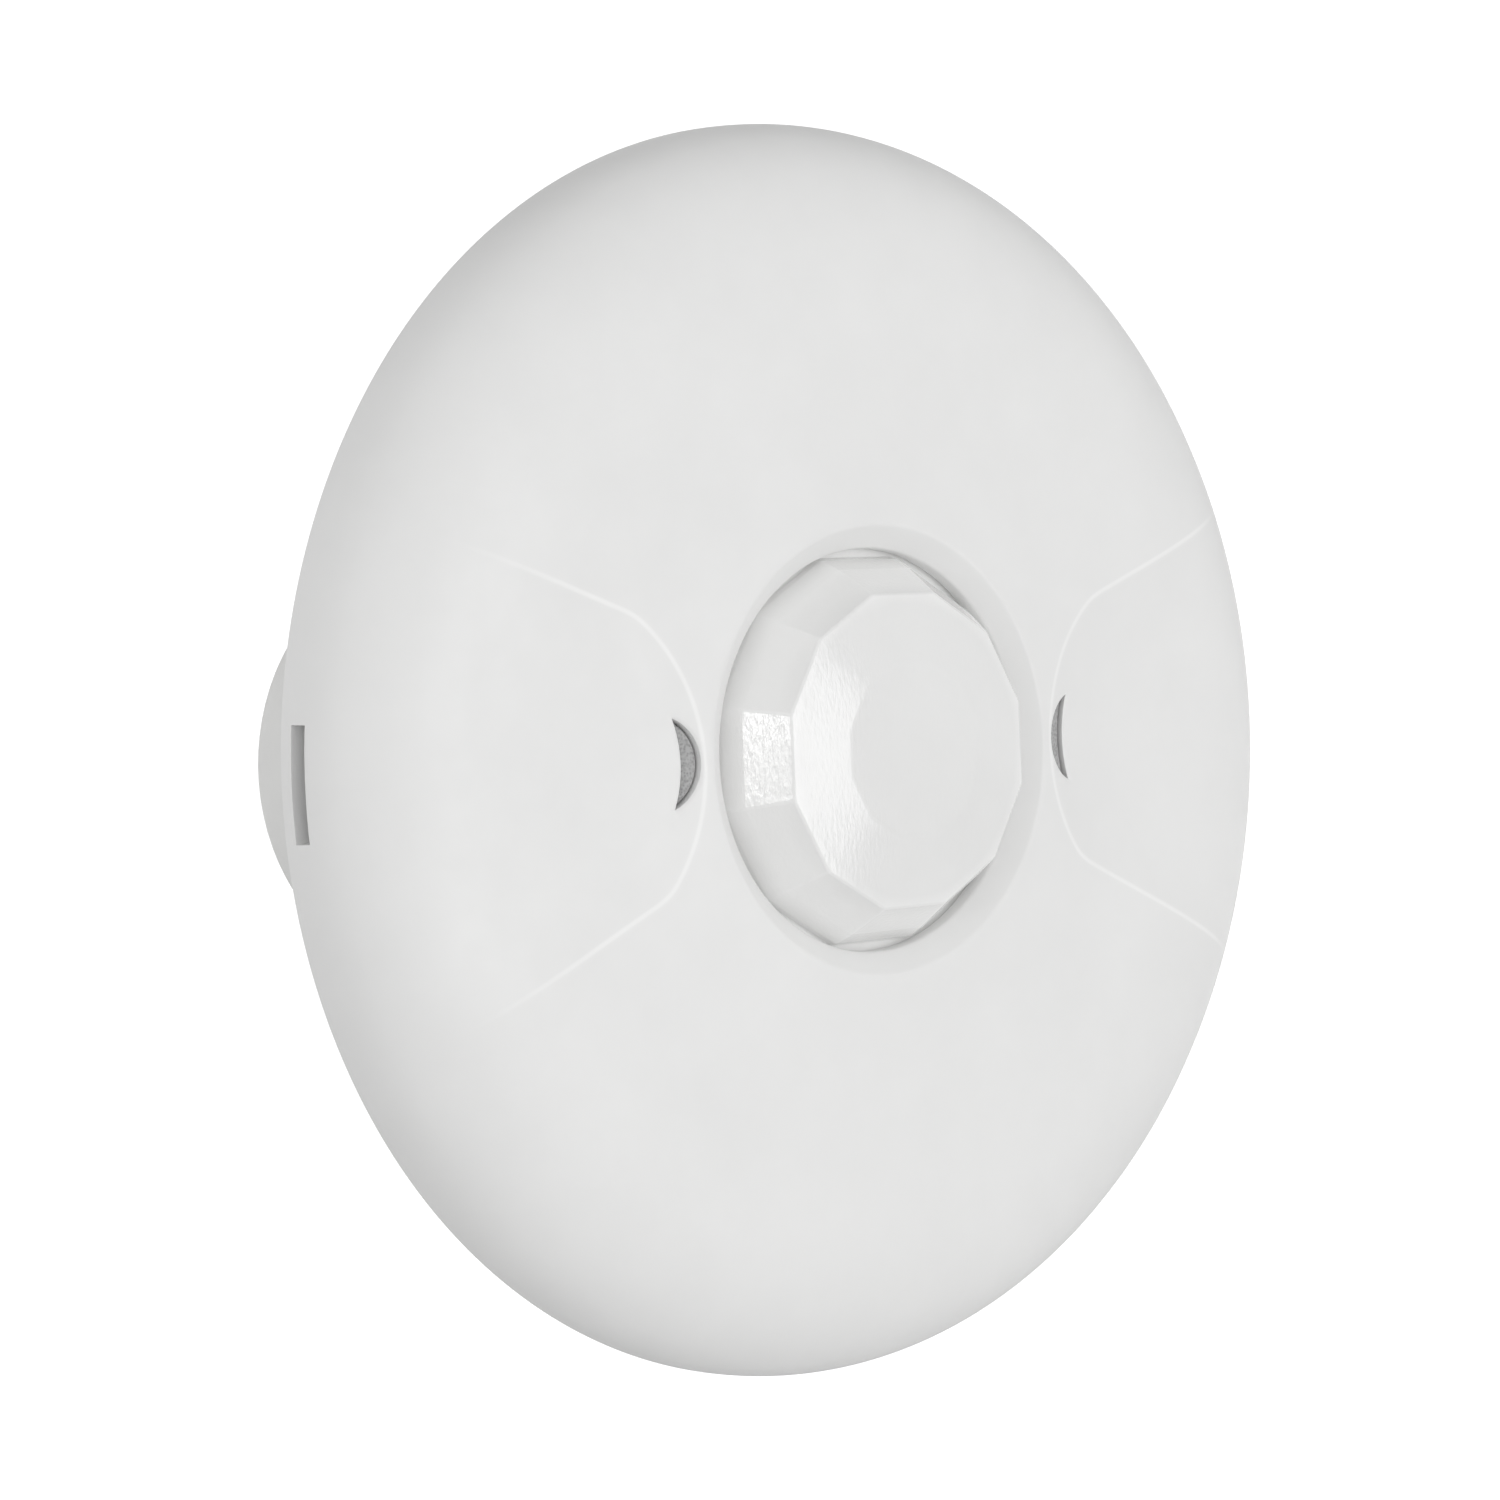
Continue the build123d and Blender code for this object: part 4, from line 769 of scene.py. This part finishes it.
def mark_painted_highlight(piece):
    """Write how far each point belongs to the painted highlight line along the scoops' edges."""
    x, y, z = np.array([v.co for v in piece.data.vertices]).T / MM
    radius = np.hypot(x, z)
    on_face = (-y > PAINTED_HIGHLIGHT_MIN_HEIGHT) & (radius > FACE_INNER_R) & (radius < FACE_OUTER_R + 0.1)
    near = np.clip(1 - np.abs(scoop_field(x, z)) / PAINTED_HIGHLIGHT_HALF_WIDTH, 0, 1)
    right_fade = smooth_step(*PAINTED_HIGHLIGHT_FADE_RIGHT, radius)
    left_fade = smooth_step(*PAINTED_HIGHLIGHT_FADE_LEFT, radius)
    strength = np.where(on_face, near * (1 - np.where(x > 0, right_fade, left_fade)), 0)
    attribute = piece.data.attributes.new("painted_edge_highlight", "FLOAT", "POINT")
    attribute.data.foreach_set("value", strength.astype(np.float32))


cover = dress(build_cover(), PAINTS["cover_white"], "cover", ("front_cover",))
mark_painted_highlight(cover)

# ------------------------------------------------------------------ sound screens


def stacked(rows, closed=True):
    """A solid through rings of (x, z, height) points. It may be left open at its last ring."""
    count = len(rows[0])
    last = len(rows) - 1
    faces = [tuple(range(count))]
    if closed:
        faces.append(tuple(range(last * count, (last + 1) * count)))
    for row in range(last):
        for i in range(count):
            j = (i + 1) % count
            faces.append((row * count + i, row * count + j, (row + 1) * count + j, (row + 1) * count + i))
    return np.vstack(rows), faces


def sound_screen(side):
    """A foam crescent that stands in its slot, with a round flange under the cover."""
    low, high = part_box("right_sound_screen")
    middle_x = (low[0] + high[0]) / 2 / MM
    front, back = COVER_INNER_HEIGHT, COVER_INNER_HEIGHT - SCREEN_FLANGE_THICK
    outer = slot_line(-SCREEN_GAP, 0.2)
    inner = slot_line(-SCREEN_GAP - SCREEN_ROUND, 0.2)
    inner = np.array([inner[np.argmin(np.linalg.norm(inner - point, axis=1))] for point in outer])
    crescent = [
        np.column_stack([line, face_height(line[:, 0], line[:, 1]) - drop])
        for line, drop in ((inner, SCREEN_DROP), (outer, SCREEN_DROP + SCREEN_ROUND))
    ]
    crescent.append(np.column_stack([outer, np.full(len(outer), front)]))
    turns = np.arange(SCREEN_FLANGE_SIDES) * 2 * pi / SCREEN_FLANGE_SIDES
    flange = [
        np.column_stack([middle_x + r * np.cos(turns), r * np.sin(turns), np.full(len(turns), h)])
        for r, h in (
            (SCREEN_FLANGE_R - 0.1, front - 0.01),
            (SCREEN_FLANGE_R, front - 0.1),
            (SCREEN_FLANGE_R, back + 0.1),
            (SCREEN_FLANGE_R - 0.1, back),
        )
    ]
    points, polygons = gather([stacked(crescent), stacked(flange)])
    return points * np.array((side, 1, 1)), polygons


for side_name, side in (("left", -1), ("right", 1)):
    points, polygons = sound_screen(side)
    screen = mesh_object(f"{side_name}_screen_foam", to_world(points), polygons)
    dress(screen, PAINTS["screen_foam"], "cover", (f"{side_name}_sound_screen",))

# ------------------------------------------------------------------ lens


def copied_mesh(node, name):
    """A copy of a CAD node's mesh with its flat facets whole again."""
    work = bmesh.new()
    work.from_mesh(NODES[node].data)
    bmesh.ops.remove_doubles(work, verts=work.verts, dist=1e-6)
    bmesh.ops.dissolve_limit(work, angle_limit=radians(0.8), verts=work.verts, edges=work.edges)
    mesh = bpy.data.meshes.new(name)
    work.to_mesh(mesh)
    work.free()
    return mesh


lens = link_mesh("lens_shell", copied_mesh("lens", "lens_shell"), 12)
rounding = lens.modifiers.new("edge", "BEVEL")
rounding.width = 0.16 * MM
rounding.segments = 2
rounding.limit_method = "ANGLE"
rounding.angle_limit = radians(6)
dress(lens, PAINTS["lens_milk"], "base", ("lens",))

# ------------------------------------------------------------------ circuit board detail


def islands(node):
    """Low and high corners, as (x, z, height), of each separate solid in a node."""
    work = bmesh.new()
    work.from_mesh(NODES[node].data)
    bmesh.ops.remove_doubles(work, verts=work.verts, dist=1e-6)
    left = set(work.verts)
    boxes = []
    while left:
        reached = [left.pop()]
        for vert in reached:
            for edge in vert.link_edges:
                other = edge.other_vert(vert)
                if other in left:
                    left.remove(other)
                    reached.append(other)
        places = np.array([(v.co.x, v.co.z, -v.co.y) for v in reached]) / MM
        boxes.append((places.min(axis=0), places.max(axis=0)))
    work.free()
    return sorted(boxes, key=lambda box: tuple(np.round(box[0], 2)))


def flat_box(node):
    """A node's lowest and highest (x, z) in millimetres."""
    low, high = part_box(node)
    return np.array((low[0], low[2])) / MM, np.array((high[0], high[2])) / MM


def ribbon(points, width, top, bottom, closed=False):
    """A flat strip that follows (x, z) points, with mitred corners."""
    line = np.asarray(points, float)
    before = np.roll(line, 1, axis=0)
    after = np.roll(line, -1, axis=0)
    if not closed:
        before[0] = 2 * line[0] - line[1]
        after[-1] = 2 * line[-1] - line[-2]
    way_in = (line - before) / np.linalg.norm(line - before, axis=1)[:, None]
    way_out = (after - line) / np.linalg.norm(after - line, axis=1)[:, None]
    mitre = way_in + way_out
    mitre /= np.linalg.norm(mitre, axis=1)[:, None]
    side = np.stack([-mitre[:, 1], mitre[:, 0]], axis=1)
    reach = width / 2 / np.clip(np.abs((mitre * way_in).sum(axis=1)), 0.4, 1)
    edges = [line + side * reach[:, None], line - side * reach[:, None]]
    count = len(line)
    vertices = np.vstack([
        np.column_stack([edge, np.full(count, height)]) for edge in edges for height in (top, bottom)
    ])
    faces = []
    for i in range(count if closed else count - 1):
        j = (i + 1) % count
        for a, b in ((0, 2), (2, 3), (3, 1), (1, 0)):
            faces.append((a * count + i, a * count + j, b * count + j, b * count + i))
    if not closed:
        for i in (0, count - 1):
            faces.append((i, count + i, 3 * count + i, 2 * count + i))
    return vertices, faces


def soft_block(low, high, edge):
    """A block between (x, z, height) corners with chamfered upright and top edges."""
    low, high = np.asarray(low, float), np.asarray(high, float)
    rows = []
    for height, inset in ((low[2], 0.0), (high[2] - edge, 0.0), (high[2], edge)):
        x0, z0 = low[:2] + inset
        x1, z1 = high[:2] - inset
        corners = [
            (x0 + edge, z0), (x1 - edge, z0), (x1, z0 + edge), (x1, z1 - edge),
            (x1 - edge, z1), (x0 + edge, z1), (x0, z1 - edge), (x0, z0 + edge),
        ]
        rows.append(np.column_stack([corners, np.full(8, height)]))
    return stacked(rows)


def via(place):
    """A tinned ring round a small plated hole."""
    turns = np.arange(VIA_SIDES) * 2 * pi / VIA_SIDES
    circle = np.stack([np.cos(turns), np.sin(turns)], axis=1)
    rows = [
        np.column_stack([np.asarray(place) + circle * radius, np.full(VIA_SIDES, height)])
        for radius, height in VIA_RINGS
    ]
    return stacked(rows, closed=False)


BOARD_LOW, BOARD_HIGH = flat_box("main_pcb")
SCREW_PLACES = [(low[:2] + high[:2]) / 2 for low, high in islands("pcb_screws")]


def board_clear(place):
    """Whether a via fits here: on the board and away from its screws."""
    inside = np.hypot(*place) <= BOARD_HIGH[0] - BOARD_EDGE_GAP
    inside &= BOARD_LOW[1] + BOARD_END_GAP < place[1] < BOARD_HIGH[1] - BOARD_END_GAP
    return inside and all(np.linalg.norm(place - screw) > SCREW_CLEAR for screw in SCREW_PLACES)


class BoardDetail:
    """What lies on the circuit board: tracks, pads with vias, printed outlines and end caps."""

    def __init__(self):
        self.tracks, self.pads, self.prints, self.caps = [], [], [], []
        self.vias = []

    def lay(self, line):
        # Neighbouring tracks differ a little in height, so that crossings stay clean.
        top = TRACK_TOP + TRACK_TOP_STEP * (len(self.tracks) % 5)
        self.tracks.append(ribbon(line, TRACK_WIDTH, top, PCB_FRONT))

    def is_free(self, place):
        return all(np.linalg.norm(place - other) > VIA_SPACING for other in self.vias)

    def route(self, start, way, run, jog):
        """A track from a pad: straight, then a 45 degree jog to a free place for a via."""
        start, way = np.asarray(start, float), np.asarray(way, float)
        across = np.array((-way[1], way[0])) * np.sign(jog)
        for share in TRACK_SHARES:
            turn = start + way * run * share
            end = turn + (way + across) * abs(jog)
            if board_clear(end) and self.is_free(end):
                self.vias.append(end)
                self.lay([start, turn, end] if jog else [start, end])
                self.pads.append(via(end))
                return

    def outline(self, points, closed=False):
        self.prints.append(ribbon(points, PRINT_WIDTH, PRINT_TOP, PCB_FRONT, closed))

    def chip_part_ends(self):
        """Metal ends, pads and a track each for the resistors and capacitors."""
        for node in ("chip_resistors", "chip_capacitors"):
            for index, (low, high) in enumerate(islands(node)):
                for side in (-1, 1):
                    edge = high[0] if side > 0 else low[0]
                    inner = edge - side * END_CAP_REACH
                    left, right = sorted((inner, edge + side * END_CAP_SKIN))
                    self.caps.append(soft_block(
                        (left, low[1] - END_CAP_SKIN, PCB_FRONT),
                        (right, high[1] + END_CAP_SKIN, high[2] + END_CAP_SKIN),
                        END_CAP_EDGE,
                    ))
                    left, right = sorted((inner, edge + side * END_PAD_REACH))
                    self.pads.append(soft_block(
                        (left, low[1] - END_PAD_MARGIN, PCB_FRONT),
                        (right, high[1] + END_PAD_MARGIN, PAD_TOP),
                        PAD_EDGE,
                    ))
                    way = (0.0, 1.0) if (index + (side > 0)) % 2 else (0.0, -1.0)
                    start = ((left + right) / 2, (low[1] + high[1]) / 2)
                    self.route(start, way, 1.5 + 0.7 * (index % 3), side * (0.5 + 0.25 * (index % 2)))

    def chip_leads(self):
        """A pad under each lead, and a track away from its chip."""
        chips = [flat_box("microcontroller")]
        chips += [(low[:2], high[:2]) for low, high in islands("amplifier_chips")]
        for index, (low, high) in enumerate(islands("chip_leads")):
            centre = (low[:2] + high[:2]) / 2
            pad_low, pad_high = low[:2] - LEAD_PAD_MARGIN, high[:2] + LEAD_PAD_MARGIN
            self.pads.append(soft_block((*pad_low, PCB_FRONT), (*pad_high, PAD_TOP), PAD_EDGE))
            chip_low, chip_high = min(chips, key=lambda box: np.linalg.norm(centre - sum(box) / 2))
            away = (centre - (chip_low + chip_high) / 2) / (chip_high - chip_low)
            axis = int(abs(away[1]) > abs(away[0]))
            way = np.zeros(2)
            way[axis] = np.sign(away[axis])
            self.route(centre + way * 0.4, way, 1.1 + 0.75 * (index % 3), 0.35 if index % 2 else -0.35)

    def setting_tracks(self):
        """Tracks from the switches' pins and from under the dials."""
        for low, high in islands("switch_pins"):
            centre = (low[:2] + high[:2]) / 2
            bank = flat_box("switch_bank_left" if centre[0] < 0 else "switch_bank_right")
            way = (0.0, 1.0 if centre[1] > sum(bank)[1] / 2 else -1.0)
            self.route(centre, way, 1.7, 0.0)
        for dial in DIALS:
            low, high = flat_box(f"{dial}_trimmer_body")
            middle = (low + high) / 2
            for step, run, jog in ((-2.0, 1.2, 0.3), (0.0, 0.9, 0.3), (2.0, 1.2, -0.3)):
                self.route((middle[0] + step, low[1] + 0.3), (0.0, -1.0), run, jog)

    def buses(self, tower_r):
        """Tracks that pass round the tower, as broken arcs of straight runs."""
        for lane in range(BUS_LANES):
            radius = tower_r + BUS_GAP + BUS_PITCH * lane
            for first, first_change, last, last_change in BUS_ARCS:
                first, last = first + first_change * lane, last + last_change * lane
                count = max(3, (last - first) // 15 + 1)
                turns = np.radians(np.linspace(first, last, count))
                line = np.stack([radius * np.cos(turns), radius * np.sin(turns)], axis=1)
                self.lay(line)
                self.pads += [via(line[0]), via(line[-1])]

    def outlines(self, tower_r):
        """Printed lines round the square parts and, clear of the tower, round the transducers."""
        square = [f"{dial}_trimmer_body" for dial in DIALS]
        for node in square + ["switch_bank_left", "switch_bank_right", "crystal"]:
            low, high = flat_box(node)
            low, high = low - PRINT_GAP, high + PRINT_GAP
            self.outline([low, (high[0], low[1]), high, (low[0], high[1])], closed=True)
        turns = np.arange(64) * 2 * pi / 64
        for node in ("left_transducer_boot", "right_transducer_boot"):
            low, high = flat_box(node)
            rim = (high[1] - low[1]) / 2 + PRINT_RING_GAP
            x = (low[0] + high[0]) / 2
            shown = turns[np.hypot(x + rim * np.cos(turns), rim * np.sin(turns)) > tower_r + 0.5]
            shown = shown[np.argsort(np.mod(shown - (pi if x > 0 else 0.0), 2 * pi))]
            self.outline(np.stack([x + rim * np.cos(shown), rim * np.sin(shown)], axis=1))


detail = BoardDetail()
tower_low, tower_high = flat_box("lens_holder")
tower_r = (tower_high[0] - tower_low[0]) / 2
detail.chip_part_ends()
detail.chip_leads()
detail.setting_tracks()
detail.buses(tower_r)
detail.outlines(tower_r)
board_track = plastic("board_track", (0.035, 0.24, 0.09), 0.3, 0.08).material
board_print = plastic("board_print", (0.72, 0.72, 0.7), 0.6, 0.05).material
for name, shapes, material, slot in (
    ("board_tracks", detail.tracks, board_track, "board_green"),
    ("board_pads", detail.pads, PAINTS["leg_tin"], "leg_tin"),
    ("board_outlines", detail.prints, board_print, "board_green"),
    ("chip_end_caps", detail.caps, PAINTS["leg_tin"], "leg_tin"),
):
    vertices, faces = gather(shapes)
    piece = mesh_object(name, to_world(vertices), faces, sharp=25, weld=1e-8)
    dress(piece, material, "base")

# ------------------------------------------------------------------ camera, floor and light


def camera_turn():
    """Camera axes in the scene, from its yaw, pitch and roll about the object's front."""
    turns = ((ROLL, "Z"), (PITCH, "X"), (YAW, "Y"))
    roll, pitch, yaw = (Matrix.Rotation(angle, 3, axis) for angle, axis in turns)
    axes = roll @ pitch @ yaw
    return Matrix([(row[0], -row[2], row[1]) for row in axes]).transposed()


optics = bpy.data.cameras.new("camera")
optics.sensor_width = SENSOR_WIDTH
optics.lens = FOCAL_LENGTH
optics.clip_start = 0.01
optics.clip_end = 50.0
camera = bpy.data.objects.new("camera", optics)
camera.matrix_world = Matrix.Translation(CAMERA_PLACE) @ camera_turn().to_4x4()
bpy.context.scene.collection.objects.link(camera)
bpy.context.scene.camera = camera


def area_light(name, place, size, power):
    """A square lamp that faces the object."""
    light = bpy.data.lights.new(name, "AREA")
    light.shape = "SQUARE"
    light.size = size
    light.energy = power
    made = bpy.data.objects.new(name, light)
    made.location = place
    made.rotation_mode = "QUATERNION"
    made.rotation_quaternion = (-Vector(place)).to_track_quat("-Z", "Y")
    bpy.context.scene.collection.objects.link(made)


area_light("key", (0.50, -1.52, -0.14), 0.74, 6.2)
area_light("window", (-1.15, -0.31, 0.0), 0.1, 0.36)

floor_mesh = bpy.data.meshes.new("floor")
corners = [(-1, -1), (1, -1), (1, 1), (-1, 1)]
corners = [(x * FLOOR_REACH, y * FLOOR_REACH, FLOOR_LEVEL) for x, y in corners]
floor_mesh.from_pydata(corners, [], [(0, 1, 2, 3)])
floor = bpy.data.objects.new("floor", floor_mesh)
bpy.context.scene.collection.objects.link(floor)
paper = Surface("paper", 0.9)
paper.colour(paper.ramp(paper.noise(400.0), (0.3, (0.9, 0.9, 0.9)), (0.7, (0.92, 0.92, 0.92))))
ahead = paper.node("ShaderNodeVectorMath", {0: paper.place, 1: BACKDROP}, operation="DOT_PRODUCT")
ahead = {0: ahead.outputs["Value"], **FLOOR_GLOW}
glow = paper.node("ShaderNodeMapRange", ahead, interpolation_type="SMOOTHSTEP")
paper.shader.inputs["Emission Color"].default_value = (1.0, 1.0, 1.0, 1.0)
paper.links.new(glow.outputs[0], paper.shader.inputs["Emission Strength"])
floor.data.materials.append(paper.material)


def studio_world():
    """A pale surround: brightest behind the object and at its left, dimmer from above."""
    world = bpy.data.worlds.new("studio")
    bpy.context.scene.world = world
    world.use_nodes = True
    tree = world.node_tree
    tree.nodes.clear()
    way = tree.nodes.new("ShaderNodeTexCoord").outputs["Generated"]

    def lobe(direction, start, stop, strength):
        dot = tree.nodes.new("ShaderNodeVectorMath")
        dot.operation = "DOT_PRODUCT"
        dot.inputs[1].default_value = direction
        tree.links.new(way, dot.inputs[0])
        span = tree.nodes.new("ShaderNodeMapRange")
        span.interpolation_type = "SMOOTHSTEP"
        tree.links.new(dot.outputs["Value"], span.inputs[0])
        for socket, value in zip((1, 2, 3, 4), (start, stop, 0.0, strength)):
            span.inputs[socket].default_value = value
        return span.outputs[0]

    total = None
    for settings in WORLD_LOBES:
        value = lobe(*settings)
        if total is None:
            total = value
            continue
        join = tree.nodes.new("ShaderNodeMath")
        join.operation = "ADD"
        tree.links.new(total, join.inputs[0])
        tree.links.new(value, join.inputs[1])
        total = join.outputs[0]
    back = tree.nodes.new("ShaderNodeBackground")
    back.inputs["Color"].default_value = (1.0, 1.0, 1.0, 1.0)
    tree.links.new(total, back.inputs["Strength"])
    end = tree.nodes.new("ShaderNodeOutputWorld")
    tree.links.new(back.outputs[0], end.inputs[0])


studio_world()

bpy.context.scene.view_settings.view_transform = "Standard"
